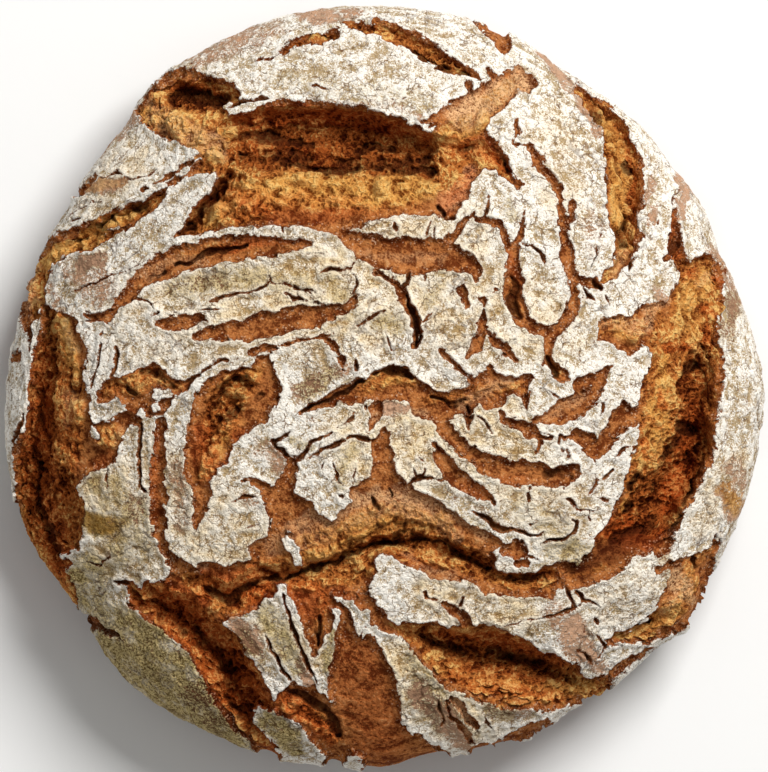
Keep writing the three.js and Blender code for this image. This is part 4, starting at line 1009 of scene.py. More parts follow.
def large_forms(points, share, edge, in_crack, way):
    """Height of the dome less the tears, the way that ridges run, and the tones known so far. A plate (edge
    above 0) sinks by only a fifth of a tear below it, so the torn lips follow the plates' edges."""
    x, y, _ = wander(points, 1.3, 95).T
    depth, run = tear_depth(x, y)
    run = np.where(depth[:, None] > 0.5, run, way)
    depth = depth * (SUNK_SHARE + (1 - SUNK_SHARE) * smooth((0.6 - edge) / 2.2))
    bare = smooth(0.3 - edge)
    x, y, _ = wander(points, 1.5, 85).T
    inland = smooth((CROWN_SHARE - share) / 0.05)
    hollow = bare * inland * smooth(1.5 * soft_marks(x, y, HOLLOWS) + 0.4 * rough(points, 4.0, 3, 33) - 0.3)
    ledge = np.full(x.shape, FAR)
    for outline in LEDGES.values():
        ledge = np.minimum(ledge, patch_distance(x, y, outline))
    dropped = bare * inland * smooth(0.2 - (ledge + 2.1 * rough(points, 4.6, 3, 37)) / 1.3)
    swell = smooth((1 - share) * 12) * PLATE_SWELL * (rough(points, PLATE_SIZE, 2, 31) - 1)
    torn = np.maximum(bare * np.maximum(smooth((depth - 0.2) / 1.2), soft_marks(x, y, ROUGH)), dropped)
    torn = torn * (1 - soft_marks(x, y, SMOOTH))
    height = dome_height(share) + swell - depth - HOLLOW_DEPTH * hollow - LEDGE_DROP * dropped
    deep = bare * np.clip(0.65 * dropped + depth / DEEPEST, 0, 1)
    tones = {"edge": edge, "crack": in_crack, "torn": torn, "hollow": hollow, "deep": deep}
    return np.maximum(height, LOWEST_TEAR), run, tones


print("plates swell by", PLATE_SWELL, "mm, ledges drop by", LEDGE_DROP, "mm")

# %% Bubbles and lumps of crumb
def foam(points, size, reach, layer):
    """Torn bubbles, from 0 on the thin walls between them to 1 in the middle of each. A point lies on a wall
    where two scattered points are equally near."""
    one, two, _ = scattered(wander(points, reach, layer), size, layer + 8)
    return smooth((two - one) / 0.55)


def lumpy(points, along, size, reach, layer):
    """Rounded lumps with creases between them. Drawn-out noise is 0 along winding lines, and its size without
    the sign has a crease on every one of them."""
    return 3.0 * np.abs(drawn_out(points, along, size, reach, layer)) - 0.9


sample = lumpy(sample_points, np.array([1.0, 0.0, 0.0]), 4.8, 3.0, 53)
print("lumps run from", sample.min().round(2), "to", sample.max().round(2))

# %% Small forms, square to the dome
CRAZE_SIZE, CRAZE_DEPTH = 13.0, 0.3  # mm between the fine cracks that craze the plates, and their depth
CRUST_STEP, CRACK_DEPTH, FLOOR_SINK = 1.35, 0.6, 1.2
EDGE_CURL, PILLOW = 0.6, 0.5


def small_forms(points, run, tones):
    """Rise above the large forms in mm: step at the plates' edges, channel floors, crumb, skin and flour.
    Adds to the tones how high a point lies within its own texture, and the fine cracks."""
    edge, torn = tones["edge"], tones["torn"]
    bare = np.clip(-edge, 0, FAR)
    calm = 0.4 + 0.6 * smooth((points[:, 2] - GIRTH_HEIGHT) / 18)
    plate = smooth(edge / 0.4)
    step = -CRUST_STEP * smooth(bare / 0.5) - CRACK_DEPTH * tones["crack"]
    floor = -FLOOR_SINK * (1 - np.exp(-np.maximum(bare - 0.4, 0) / 1.7)) * (1 - torn)
    curl = EDGE_CURL * np.exp(-(np.maximum(edge - 0.5, 0) ** 2) / 2.2) * plate
    one, two, _ = scattered(wander(points, 3.2, 91), CRAZE_SIZE, 99)
    crazed = plate * smooth(1 - (two - one) / 0.06) * smooth(2.2 * rough(points, 16.0, 2, 102) + 0.2)
    pillow = PILLOW * plate * (smooth((two - one) * 1.4) - 0.5)
    wrinkles = drawn_out(points, run, 1.9, 3.0, 35)
    grain = plate * (0.28 * rough(points, 4.0, 3, 41) + 0.16 * noise(points, 1.2, 45) + 0.32 * wrinkles)
    rise = step + floor + curl + pillow + grain - CRAZE_DEPTH * crazed
    relief = 0.5 + 0.8 * grain
    i = np.flatnonzero(edge < 0.3)
    p, t = points[i], torn[i]
    streaks = drawn_out(p, run[i], 1.5, 3.2, 61)
    skin = 0.30 * rough(p, 4.5, 3, 46) + 0.32 * streaks
    lumps = 1.1 * lumpy(p, run[i], 4.8, 3.0, 53) + 0.6 * lumpy(p, run[i], 2.3, 1.4, 51)
    bubbles = foam(p, 3.4, 1.4, 105) * (0.9 + 0.7 * noise(p, 6.0, 120)) + 0.6 * foam(p, 1.9, 0.8, 125)
    strings = 0.5 * streaks + 0.9 * rough(p, 7.0, 2, 58) - 1.3 * (bubbles - 0.7)
    stringy = smooth(0.35 + 1.0 * tones["deep"][i] + 0.8 * noise(p, 11.0, 57))
    crumb = lumps + stringy * (strings - lumps)
    off_plate = 1 - plate[i]
    rise[i] += off_plate * calm[i] * ((1 - t) * skin + t * (crumb - 0.3))
    inner = (1 - t) * np.clip(0.55 + 0.75 * skin, 0, 1) + t * np.clip(0.52 + 0.36 * crumb, 0, 1)
    relief[i] += off_plate * (inner - relief[i])
    more = {"relief": np.clip(relief, 0, 1), "crack": np.maximum(tones["crack"], 0.8 * crazed)}
    return rise, tones | more


print("the skin stands", CRUST_STEP, "mm above bare crust")

# %% The finished crown
def torn_dome(x, y, share, edge, in_crack, way):
    """The finished surface over points of the dome, and its tones."""
    angle = np.arctan2(y, x)
    points = np.stack([x, y, dome_height(share)], axis=1)
    height, run, tones = large_forms(points, share, edge, in_crack, way)
    rise, tones = small_forms(points, run, tones)
    points[:, 2] = height
    return points + rise[:, None] * dome_normal(angle, share, girth_radius(angle)), tones


crown, crown_tones = torn_dome(x, y, share, edge, in_crack, channel_way)
torn_share = float((crown_tones["torn"] > 0.5).mean())
lowest, highest = crown[:, 2].min().round(1), crown[:, 2].max().round(1)
print("crown from", lowest, "to", highest, "mm; torn share", round(torn_share, 2))

# %% [markdown]
# ## Belt and sole
# Below the crown the surface turns over the girth and rolls under to the sole along a quarter of an ellipse.
# The belt starts from the crown's own border, point for point, so no gap can open between them. Its
# floured skin breaks up on the way down, as a loaf's does where it faced the hearth.

# %% The crown's border, anticlockwise, as numbers of its points
index = np.arange(side * side).reshape(side, side)


def rim_of(grid):
    """The numbers along the four sides of a grid, anticlockwise, each once."""
    return np.concatenate([grid[:-1, -1], grid[-1, :0:-1], grid[:0:-1, 0], grid[0, :-1]])


border = rim_of(index)
border_angle = np.arctan2(y[border], x[border])
border_radius = girth_radius(border_angle)
print(len(border), "points round the crown")

# %% Rings from the crown's border to the girth, under it, and over the sole
UPPER_RINGS, LOWER_RINGS, SOLE_RINGS = 8, 16, 5
DRIFT = 40  # points that the skin's pattern drifts along the belt by
UNDER_RISE = 0.6  # mm that the skin may rise by below the girth
rise_start = np.sqrt(1 - CROWN_SHARE**DOME_FLATNESS)
upper_rise = rise_start * (1 - np.arange(1, UPPER_RINGS + 1) / UPPER_RINGS)
upper_share = (1 - upper_rise**2) ** (1 / DOME_FLATNESS)
round_way = np.stack([-np.sin(border_angle), np.cos(border_angle), 0 * border_angle], axis=1)


def belt_ring(ring_share):
    """One ring above the girth, made as the crown is."""
    share = np.full(len(border), ring_share)
    ring_x = share * border_radius * np.cos(border_angle)
    ring_y = share * border_radius * np.sin(border_angle)
    edge, in_crack = skin_edge(np.stack([ring_x, ring_y, dome_height(share)], axis=1))
    return torn_dome(ring_x, ring_y, share, edge, in_crack, round_way)


rings = [belt_ring(s) for s in upper_share]
girth_ring, girth_tones = rings[-1]
girth_rise = small_forms(girth_ring, round_way, girth_tones)[0]
for k in range(1, LOWER_RINGS + 1):
    turn = np.pi / 2 * k / LOWER_RINGS
    shrink = SOLE_SHARE + (1 - SOLE_SHARE) * np.cos(turn)
    p = girth_ring * [shrink, shrink, 1 - np.sin(turn)]
    away = smooth(k / 7)
    patchy = 1.6 * rough(p, 13.0, 3, 71) + 0.6 - 2.2 * (k / LOWER_RINGS)
    drift = np.round(DRIFT * smooth(k / 5) * rough(p, 12.0, 2, 77)).astype(int)
    beside_it = (np.arange(len(border)) + drift) % len(border)
    tones = {name: (1 - away) * values[beside_it] for name, values in girth_tones.items()}
    tones["edge"] = np.clip(tones["edge"] + (0.3 + 0.7 * away) * patchy, -FAR, FAR)
    outward = [np.cos(border_angle) * np.cos(turn), np.sin(border_angle) * np.cos(turn)]
    sideways = np.stack([*outward, -np.sin(turn) + 0 * border_angle], axis=1)
    fade = 1 - smooth((k - LOWER_RINGS + 3) / 3)
    up, tones = small_forms(p, round_way, tones)
    change = np.minimum((up - girth_rise * (1 - away)) * fade, UNDER_RISE) * smooth(k / 3)
    rings.append((p + change[:, None] * sideways, tones))
for k in range(1, SOLE_RINGS):
    inner = SOLE_SHARE * (1 - k / SOLE_RINGS)
    p = girth_ring * [inner, inner, 0]
    tones = {name: 0 * values for name, values in girth_tones.items()}
    tones["edge"] = np.clip(0.8 + 1.5 * rough(p, 9.0, 2, 75), -FAR, FAR)
    tones["relief"] = tones["relief"] + 0.5
    rings.append((p, tones))
print(len(rings), "rings below the crown")

# %% [markdown]
# ## Fitting the solid
# The loaf has to be as large as its solid. The solid sits with the middle of its box on the axis, so the
# surface moves by the same amount, and it is trimmed by a hair where noise carried it past the box.

# %% One list of points for crown, belt and sole
all_points = np.concatenate([crown] + [ring for ring, _ in rings] + [np.zeros((1, 3))])
tones = {}
for name, values in crown_tones.items():
    below = [ring_tones[name] for _, ring_tones in rings]
    tones[name] = np.concatenate([values, *below, below[-1][:1]])
drawn_points = all_points.copy()
low, high = all_points.min(0), all_points.max(0)
centre = [(low[0] + high[0]) / 2, (low[1] + high[1]) / 2, 0]
solid_size = (solid_high - solid_low) / MM
trim = np.minimum(solid_size / (high - low), 1) * 0.9996
all_points = (all_points - centre) * trim
finished_size = all_points.max(0) - all_points.min(0)
print("middle of the box was", np.round(centre, 2), "trim", trim.round(4), "size", finished_size.round(2))

# %% Faces: every grid cell is cut along the diagonal whose ends are nearer in height
def cut_cells(sw, se, ne, nw, z):
    """Two triangles a cell, given its corners anticlockwise from outside."""
    rising = np.abs(z[sw] - z[ne]) < np.abs(z[se] - z[nw])
    first = np.where(rising[:, None], np.stack([sw, se, ne], 1), np.stack([sw, se, nw], 1))
    second = np.where(rising[:, None], np.stack([sw, ne, nw], 1), np.stack([se, ne, nw], 1))
    return np.concatenate([first, second])


z = all_points[:, 2]
tile_faces, tile_rims, tile_spans = [], [], []
for row in range(TILES):
    for column in range(TILES):
        first_row, first_column = row * TILE_CELLS, column * TILE_CELLS
        part = index[first_row:first_row + TILE_CELLS + 1, first_column:first_column + TILE_CELLS + 1]
        corners = [c.ravel() for c in (part[:-1, :-1], part[:-1, 1:], part[1:, 1:], part[1:, :-1])]
        tile_faces.append(cut_cells(*corners, z))
        tile_rims.append(rim_of(part))
        tile_spans.append(part)
ring_index = [border] + [side * side + k * len(border) + np.arange(len(border)) for k in range(len(rings))]
belt_faces = []
for upper, lower in zip(ring_index[:-1], ring_index[1:]):
    belt_faces.append(cut_cells(lower, np.roll(lower, -1), np.roll(upper, -1), upper, z))
last = ring_index[-1]
belt_faces.append(np.stack([np.roll(last, -1), last, np.full(len(last), len(all_points) - 1)], axis=1))
belt_faces = np.concatenate(belt_faces)
print([len(f) for f in tile_faces], "triangles on the crown,", len(belt_faces), "on belt and sole")

# %% Smooth normals over all pieces together, so that no seam shows
def shared_normals(points, faces):
    """The faces' cross products added up at their corners, made one long. The cross product is twice the
    face's area long, so large faces count more."""
    a, b, c = (points[faces[:, k]] for k in range(3))
    cross = np.cross(b - a, c - a)
    total = np.zeros_like(points)
    for k in range(3):
        for axis in range(3):
            total[:, axis] += np.bincount(faces[:, k], cross[:, axis], len(points))
    return total / np.maximum(np.linalg.norm(total, axis=1, keepdims=True), 1e-12)


normals = shared_normals(all_points, np.concatenate(tile_faces + [belt_faces]))
print("normals that point down on the crown:", int((normals[: side * side, 2] < 0).sum()))

# %% [markdown]
# ## Tone
# Flour lies thick on some plates and was rubbed off others, and the oven browned the loaf unevenly: torn
# crumb is golden where it dried, and redder where it baked into a crust. Part of it is painted light and
# shade:
# gold lies mostly on crumb that faces the lamp and red on walls in shade, tanning darkens the shaded
# south-west, cream warms shaded plates and dusting lightens the crown's south slope. Strokes with a soft edge
# say where.
# Each kind becomes a number on every point of the mesh, which the material reads by name.

# %% Plates with thin flour, as (x, y, width, strength)
THIN = [
    [(0, -7, 6, 1), (8, -8, 5, 0.9)],
    [(12, -110, 12, 0.9), (20, -120, 14, 1), (27, -128, 12, 0.9)],
    [(-106, 42, 12, 0.5), (-100, 34, 10, 0.5)],
    [(-110, 44, 9, 1), (-104, 46, 9, 1)],
    [(-68, -113, 16, 0.6), (-58, -124, 12, 0.5)],
    [(40, -119, 9, 0.6), (52, -120, 9, 0.6)],
    [(-72, 118, 12, 0.5), (-55, 126, 14, 0.7), (-40, 131, 12, 0.5)],
    [(-98, 92, 9, 0.8), (-90, 100, 7, 0.7)],
    [(-103, 84, 6, 0.6), (-98, 92, 6, 0.6)],
    [(-122, 36, 6, 0.5), (-116, 22, 6, 0.5)],
    [(-44, -22, 13, 0.55), (-37, -29, 11, 0.6)],
    [(-49, -42, 10, 0.6), (-48.9, -42, 10, 0.6)],
    [(-91, -38, 7, 0.5), (-91, -48, 7, 0.5)],
    [(-75, -30, 9, 0.5), (-73, -50, 8, 0.5)],
    [(-30, -3, 8, 0.65), (-22, 3, 9, 0.7), (-14, 8, 6, 0.6)],
    [(-55, -86, 11, 0.8), (-50, -90, 13, 0.9), (-48, -96, 11, 0.9), (-46, -100, 7, 0.6)],
    [(-30, -101, 7, 0.9), (-28, -109, 6, 0.9)],
    [(-19, -105, 4, 0.8), (-18, -116, 4, 0.8)],
    [(62, -82, 12, 0.7), (68, -89, 18, 0.9), (74, -97, 16, 0.9), (79, -103, 10, 0.8)],
    [(27, -126, 7, 0.8), (31, -133, 7, 0.8)],
    [(102, -64, 10, 0.5), (110, -76, 10, 0.7)],
    [(-112, 42, 14, 0.6), (-104, 34, 15, 0.7)],
    [(-110, 8, 5, 0.6), (-113, 24, 6, 0.6)],
    [(125, 20, 9, 0.7), (127, 32, 9, 0.8)],
    [(126, -28, 12, 0.55), (128, -34, 10, 0.7)],
    [(124, -39, 9, 1), (128, -42, 11, 1), (127, -47, 8, 1)],
    [(-109, 71.5, 6, 1), (-102, 74, 8, 1), (-95, 75, 6, 0.9)],
    [(58, 121, 7, 0.9), (66, 112, 6, 0.9), (74, 100, 5, 0.8), (79, 92, 4, 0.7)],
    [(97, 77, 4, 0.7), (97.5, 62, 4, 0.7)],
    [(107, 78, 6, 0.9), (110, 70, 7, 0.9), (107, 62, 5, 0.8)],
    [(118, 52, 4, 0.6), (124, 42, 7, 0.7), (129, 30, 6, 0.7)],
    [(60, 82, 10, 0.3), (76, 82, 8, 0.3)],
    [(76, 60, 14, 0.35), (76, 45, 10, 0.35)],
    [(34, 100, 10, 0.7), (42, 106, 10, 0.7), (50, 111, 8, 0.7)],
    [(-114, 42, 10, 0.7), (-106, 36, 10, 0.7)],
    [(-75, 36, 10, 0.3), (-60, 40, 10, 0.3)],
    [(-30, 136, 8, 0.8), (-20, 136, 8, 0.9), (-10, 136, 6, 0.6)],
    [(100, 35, 6, 0.8), (104, 30, 5, 0.8)],
    [(-97, 95, 5, 0.9), (-93, 100, 6, 0.9)],
    [(-103, 72, 8, 0.8), (-97, 74, 8, 0.8)],
    [(-30, 104, 3, 0.3), (5, 101, 6, 0.4), (14, 97, 4, 0.6)],
]
print(len(THIN), "thin places")

# %% Places that the oven tanned, and on the south-west side, away from the lamp, painted shade
TAN_AND_SHADE = [
    [(-52, -90, 9, 0.8), (-48, -97, 8, 0.9), (-46, -100, 7, 0.5)],
    [(-110, 44, 9, 0.5), (-104, 46, 9, 0.5)],
    [(16, -116, 10, 0.8), (20, -122, 9, 0.5)],
    [(40, -119, 9, 0.5), (46, -119, 9, 0.5)],
    [(70, -67, 10, 1), (80, -62, 14, 1), (90, -58, 10, 0.9), (99, -56, 6, 0.6)],
    [(-98, -36, 14, 0.5), (-94, -52, 18, 0.3)],
    [(-108, -68, 22, 0.8), (-104, -84, 20, 0.7), (-88, -94, 34, 1)],
    [(-74, -108, 34, 1), (-56, -128, 26, 1)],
    [(-92, -46, 16, 0.5), (-90, -60, 14, 0.4)],
    [(62, -60, 14, 0.6), (72, -60, 12, 0.7)],
    [(14, -108, 16, 0.6), (20, -120, 14, 0.6), (32, -128, 12, 0.15)],
    [(-28, -2, 8, 0.7), (-20, 4, 8, 0.7)],
    [(102, -64, 10, 0.4), (110, -76, 10, 0.5)],
    [(-108, -50, 11, 1), (-100, -51, 14, 1), (-97, -55, 9, 0.7)],
    [(-106, -34, 7, 0.6), (-104, -38, 6, 0.5)],
    [(-75, 36, 12, 0.5), (-55, 40, 12, 0.5), (-30, 38, 10, 0.4)],
    [(-4, 24, 8, 0.5), (3, 24, 8, 0.7), (6, 20, 6, 0.6)],
    [(-33, -20, 6, 0.6), (-28, -22, 5, 0.6)],
    [(-12, -22, 7, 0.4), (-18, -25, 6, 0.4)],
    [(-104, -98, 26, 1), (-84, -110, 26, 1), (-62, -130, 20, 1)],
    [(-110, -80, 14, 0.8), (-114, -70, 14, 1)],
    [(-98, -52, 12, 0.6), (-97, -64, 10, 0.7)],
    [(-40, -124, 16, 0.9), (-32, -132, 12, 1)],
    [(-42, -82, 12, 0.7), (-36, -92, 14, 0.75), (-32, -102, 12, 0.7)],
    [(-20, -104, 6, 0.8), (-18, -90, 5, 0.8)],
    [(125, 20, 9, 0.5), (127, 32, 9, 0.6)],
    [(45, 68, 6, 0.5), (47, 62, 6, 0.5)],
    [(-10, 26, 10, 0.4), (-20, 40, 12, 0.3)],
    [(16, 32, 8, 0.4), (22, 44, 8, 0.3)],
    [(-14, -26, 10, 0.5), (-16, -34, 8, 0.5)],
    [(50, -46, 14, 0.3), (66, -52, 10, 0.4)],
    [(14, 104, 12, 0.2), (-38, 112, 10, 0.2)],
    [(20, -118, 12, 0.6), (10, -100, 8, 0.5)],
    [(35, -50, 8, 0.3), (20, -46, 8, 0.3)],
]
print(len(TAN_AND_SHADE), "tanned places")

# %% Golden crumb, partly its own colour and partly painted light, as it lies mostly on slopes that face the lamp
GOLD = [
    [(-30, -57, 12, 0.5), (-10, -48, 14, 0.35), (8, -46, 14, 0.5), (22, -50, 10, 0.5)],
    [(-32, -64, 4, 0.8), (-24, -61, 4, 0.9), (-14, -56, 5, 0.9), (-6, -51, 5, 1), (4, -48, 5, 1),
     (14, -49, 5, 0.8)],
    [(-108, -50, 11, 1), (-100, -51, 14, 1), (-98, -55, 9, 0.8)],
    [(-107, -34, 7, 0.6), (-104, -37, 6, 0.5)],
    [(-109, 71.5, 6, 0.6), (-102, 74, 8, 0.6), (-95, 75, 6, 0.6)],
    [(124, -38, 7, 0.9), (128, -42, 9, 1), (127, -46, 6, 0.9)],
    [(-50, 70, 14, 0.8), (-35, 72, 17, 1), (-15, 71, 18, 1), (5, 71, 18, 1), (18, 70, 10, 0.8)],
    [(-86, 100, 10, 0.9), (-74, 97, 12, 0.9), (-66, 88, 15, 0.9), (-58, 88, 12, 0.7)],
    [(-64, 60, 6, 0.7), (-57, 66, 9, 0.9), (-50, 62, 6, 0.8)],
    [(-124, 46, 9, 0.8), (-112, 53, 8, 0.8), (-100, 58, 7, 0.9), (-88, 65, 6, 0.8)],
    [(-116, 25, 7, 0.9), (-114, 14, 7, 0.9), (-111, 5, 5, 0.6)],
    [(120, 44, 8, 0.6), (112, 34, 14, 0.8), (110, 22, 12, 0.6)],
    [(103, 10, 6, 0.8), (101, -5, 10, 0.8), (99, -18, 10, 0.8), (95, -28, 6, 0.7)],
    [(88, -44, 5, 0.9), (86, -40, 4, 0.8)],
    [(97, -36, 6, 0.6), (100, -42, 6, 0.4)],
    [(22, -104, 6, 0.3), (35, -108, 7, 0.5), (50, -110, 8, 0.6), (64, -110, 7, 0.6), (74, -109, 6, 0.6)],
    [(18, -90, 5, 0.4), (40, -91, 5, 0.4)],
    [(84, 60, 9, 0.8), (86, 72, 10, 0.9), (85, 88, 9, 0.7), (80, 98, 6, 0.6)],
    [(82, 41, 5, 0.6), (86, 46, 5, 0.6)],
    [(-47, -12, 7, 0.8), (-55, -18, 6, 0.8), (-62, -26, 5, 0.5)],
    [(-44, 4, 5, 0.6), (-50, 9, 5, 0.5)],
    [(-38, -50, 8, 0.4), (-30, -52, 10, 0.4), (-10, -50, 12, 0.7), (5, -50, 10, 0.7), (18, -52, 8, 0.5)],
    [(-28, -63, 6, 0.7), (-14, -58, 7, 0.8), (-6, -54, 6, 0.9), (3, -50, 6, 0.9), (12, -51, 6, 0.7)],
    [(26, 92, 14, 0.7), (36, 101, 12, 0.7), (46, 110, 8, 0.5)],
    [(88, 22, 8, 0.5), (84, 17, 6, 0.6), (90, 15, 5, 0.6)],
    [(0, 2, 5, 0.8), (5, 1, 6, 0.9)],
    [(112, -70, 6, 0.3), (109, -79, 9, 0.4), (101, -84, 7, 0.5), (92, -90, 5, 0.6), (84, -92, 4, 0.6)],
    [(-10, -92, 10, 0.2), (-8, -110, 14, 0.25)],
    [(-30, 25, 5, 0.5), (-50, 18, 4, 0.5)],
]
print(len(GOLD), "golden places")

# %% Red crumb, partly its own colour and partly painted shade, as it lies mostly on walls in shade
RED = [
    [(-67, -16, 9, 0.8), (-64, -26, 10, 0.9)],
    [(-54, -28, 8, 0.5), (-50, -20, 8, 0.5)],
    [(-80, -75, 12, 1), (-66, -77, 12, 0.9)],
    [(-58, -106, 8, 0.5), (-52, -118, 9, 0.8), (-46, -127, 7, 0.7)],
    [(-52, 62, 9, 0.8), (-46, 66, 10, 0.9), (-40, 62, 8, 0.7)],
    [(-92, -76, 12, 0.7), (-82, -80, 12, 0.7)],
    [(-52, -78, 14, 0.7), (-36, -78, 12, 0.6)],
    [(-116, 2, 8, 0.4), (-116, -14, 12, 0.5), (-113, -28, 10, 0.4)],
    [(22, 66, 9, 0.8), (27, 71, 11, 0.9), (32, 77, 8, 0.8)],
    [(-56, 66, 12, 0.6), (-46, 68, 14, 0.6), (-36, 64, 10, 0.5)],
    [(-125, 14, 9, 0.6), (-124, -5, 10, 0.7), (-123, -25, 12, 0.6), (-117, -38, 12, 0.5)],
    [(24, 88, 9, 0.6), (36, 86, 9, 0.8), (44, 80, 6, 0.9), (48, 76, 4, 0.8)],
    [(104, 14, 5, 0.9), (109, 15, 5, 0.9)],
    [(113, 27, 4, 0.8), (119, 26, 4, 0.8)],
    [(117, 20, 4, 0.8), (118, 16, 4, 0.8)],
    [(102, -7, 5, 0.9), (101, -2, 4, 0.8)],
    [(95, -22, 6, 0.8), (97, -25, 5, 0.7)],
    [(97, -11, 5, 0.5), (99, -14, 4, 0.5)],
    [(110, 39, 5, 0.8), (113, 42, 5, 0.7)],
    [(120, 40, 4, 0.8), (122, 36, 4, 0.8)],
    [(-37, -113, 9, 1), (-29, -119, 11, 1), (-20, -128, 9, 1)],
    [(25, -106, 6, 0.5), (45, -112, 7, 0.6), (64, -113, 6, 0.5)],
    [(-10, 68, 6, 0.5), (-35, 68, 8, 0.5)],
    [(0, -64, 10, 0.4), (18, -63, 8, 0.4)],
    [(-100, -24, 8, 0.5), (-104, -28, 7, 0.6)],
    [(-90, -75, 24, 0.5), (-72, -88, 26, 0.8), (-55, -108, 28, 1), (-38, -128, 20, 0.8)],
    [(-62, -70, 16, 0.8), (-46, -74, 22, 1), (-28, -78, 20, 0.9), (-12, -78, 14, 0.4)],
    [(-10, -100, 26, 0.4), (-2, -128, 30, 0.5)],
    [(70, -38, 12, 0.8), (82, -52, 16, 1), (96, -56, 16, 1)],
    [(112, -8, 12, 0.6), (110, -26, 14, 0.8), (104, -42, 14, 1)],
    [(-130, 12, 10, 0.3), (-128, -15, 12, 0.8), (-128, -38, 14, 0.7), (-119, -62, 16, 0.9),
     (-100, -78, 14, 0.6)],
    [(-52, 97, 8, 0.9), (-40, 99, 9, 1), (-25, 99, 10, 1), (-8, 97, 9, 1), (6, 94, 7, 1), (14, 91, 6, 0.8)],
    [(-46, 87, 10, 0.6), (-20, 84, 8, 0.2)],
    [(-56, -12, 12, 0.5), (-50, -22, 8, 0.8), (-64, -34, 8, 0.5)],
    [(-64, 50, 4, 0.7), (-48, 52, 5, 0.9), (-34, 52, 4, 0.6)],
    [(20, -91, 7, 0.7), (45, -93, 7, 0.8), (62, -100, 7, 0.7)],
    [(30, -104, 8, 0.4), (58, -108, 8, 0.5)],
    [(30, -38, 8, 0.4), (50, -34, 6, 0.3)],
    [(-96, -2, 8, 0.3), (-84, 4, 6, 0.5)],
    [(-84, -20, 8, 0.6), (-83, -50, 8, 0.4)],
    [(45, -64, 8, 0.3), (60, -70, 6, 0.3)],
    [(104, 62, 6, 0.5), (106, 48, 6, 0.6)],
    [(88, 92, 3, 0.5), (90.5, 76, 3, 0.5), (91, 60, 3, 0.5)],
    [(38, 40, 6, 0.4), (46, 46, 5, 0.6), (48, 34, 6, 0.5)],
    [(-76, 110, 6, 0.6), (-62, 108, 6, 0.7)],
    [(-76, 60, 5, 0.5), (-62, 68, 4, 0.6)],
    [(-40, 64, 8, 0.4), (-20, 61, 7, 0.7), (0, 66, 4, 0.3)],
    [(24, 63, 4, 0.6), (20, 66, 4, 0.6)],
]
print(len(RED), "red places")

# %% Dusted crust, partly painted light, and creamy flour, partly painted warm shade
# Dusted crust; the strokes from y = -39 to -55 on the crown's south slope pale a slope that faces away from
# the lamp, as painted light.
DUST_AND_LIGHT = [
    [(-38, -55, 7, 0.4), (-22, -47, 8, 0.4), (-8, -41, 9, 0.4), (8, -39, 9, 0.4), (28, -47, 7, 0.5),
     (36, -54, 6, 0.4)],
    [(26, -115, 7, 0.8), (31, -126, 7, 0.9)],
    [(20, -116, 4, 0.7), (20, -121, 4, 0.7)],
    [(28, 98, 13, 1), (40, 105, 13, 1), (50, 112, 11, 1)],
    [(-114, -4, 8, 0.4), (-115, -14, 6, 0.3)],
    [(106, -70, 8, 0.8), (108, -76, 8, 0.7), (103, -82, 6, 0.4)],
    [(-30, -52, 10, 0.3), (-14, -42, 9, 0.7), (2, -40, 10, 0.7), (16, -44, 7, 0.5)],
    [(-116, 24, 5, 0.5), (-113, 12, 5, 0.5)],
    [(22, 66, 9, 0.5), (27, 71, 12, 0.6), (32, 77, 9, 0.5)],
    [(-12, -49, 8, 0.3), (5, -45, 8, 0.4), (18, -47, 8, 0.4), (27, -54, 6, 0.4)],
    [(-84, 100, 12, 0.4), (-68, 90, 14, 0.6), (-58, 86, 8, 0.5)],
    [(8, -61, 6, 0.3), (14, -66, 5, 0.4), (24, -68, 5, 0.3)],
    [(107, -68, 6, 0.9), (110, -74, 7, 0.9), (112, -78, 5, 0.5)],
    [(30, 96, 10, 0.6), (38, 102, 10, 0.7), (46, 108, 10, 0.6)],
    [(24, 66, 8, 0.5), (27, 72, 8, 0.6), (31, 78, 6, 0.5)],
    [(78, 24, 8, 0.4), (92, 22, 10, 0.6), (102, 32, 6, 0.6)],
    [(86, 48, 7, 0.5), (83, 40, 6, 0.6)],
    [(28, -6, 8, 0.4), (45, 1, 6, 0.6)],
    [(20, 10, 6, 0.3), (30, 14, 5, 0.4)],
    [(-72, -60, 6, 0.6), (-66, -66, 6, 0.4)],
    [(-12, -12, 6, 0.4), (14, -10, 6, 0.4)],
    [(-88, 40, 5, 0.35), (-80, 45, 5, 0.3), (-66, 46, 4, 0.3)],
    [(-40, -58, 10, 0.3), (-20, -52, 8, 0.2)],
    [(-96, -18, 8, 0.3), (-94, -18, 8, 0.3)],
    [(-130, 30, 8, 0.5), (-128, 42, 7, 0.5)],
    [(-104, 75, 6, 0.5), (-98, 76, 6, 0.5)],
    [(-14, 50, 5, 0.2), (5, 46, 6, 0.25), (22, 46, 5, 0.2)],
    [(60, -10, 6, 0.3), (72, -4, 6, 0.3)],
    [(118, 40, 5, 0.4), (113, 36, 5, 0.4)],
]
# Creamy flour; the wide strokes over the west, south-west and south-east plates warm flour in shade, as
# painted warm shade.
CREAM = [
    [(-46, -90, 24, 0.8), (-20, -98, 20, 0.8)],
    [(75, -80, 34, 0.35), (92, -72, 26, 0.3)],
    [(-100, -40, 40, 1), (-98, -62, 26, 0.7), (-70, -55, 30, 0.6)],
    [(-84, 24, 50, 0.4), (-50, 34, 56, 0.85), (-10, 34, 60, 1), (20, 50, 56, 0.8)],
    [(-80, -40, 50, 0.7), (-50, -60, 40, 0.8)],
    [(0, -20, 56, 1), (38, -18, 50, 0.9), (62, -44, 44, 0.5)],
    [(30, 30, 60, 0.7), (60, 20, 40, 0.6)],
    [(20, -75, 30, 0.9), (45, -80, 34, 0.9)],
    [(5, -105, 34, 1), (30, -122, 34, 1)],
    [(-90, 84, 24, 0.6), (-104, 66, 20, 0.6)],
    [(126, -28, 18, 0.7), (116, -52, 14, 0.4)],
    [(60, 96, 24, 0.3), (66, 70, 26, 0.5)],
]
print(len(DUST_AND_LIGHT), "dusted places,", len(CREAM), "creamy ones")
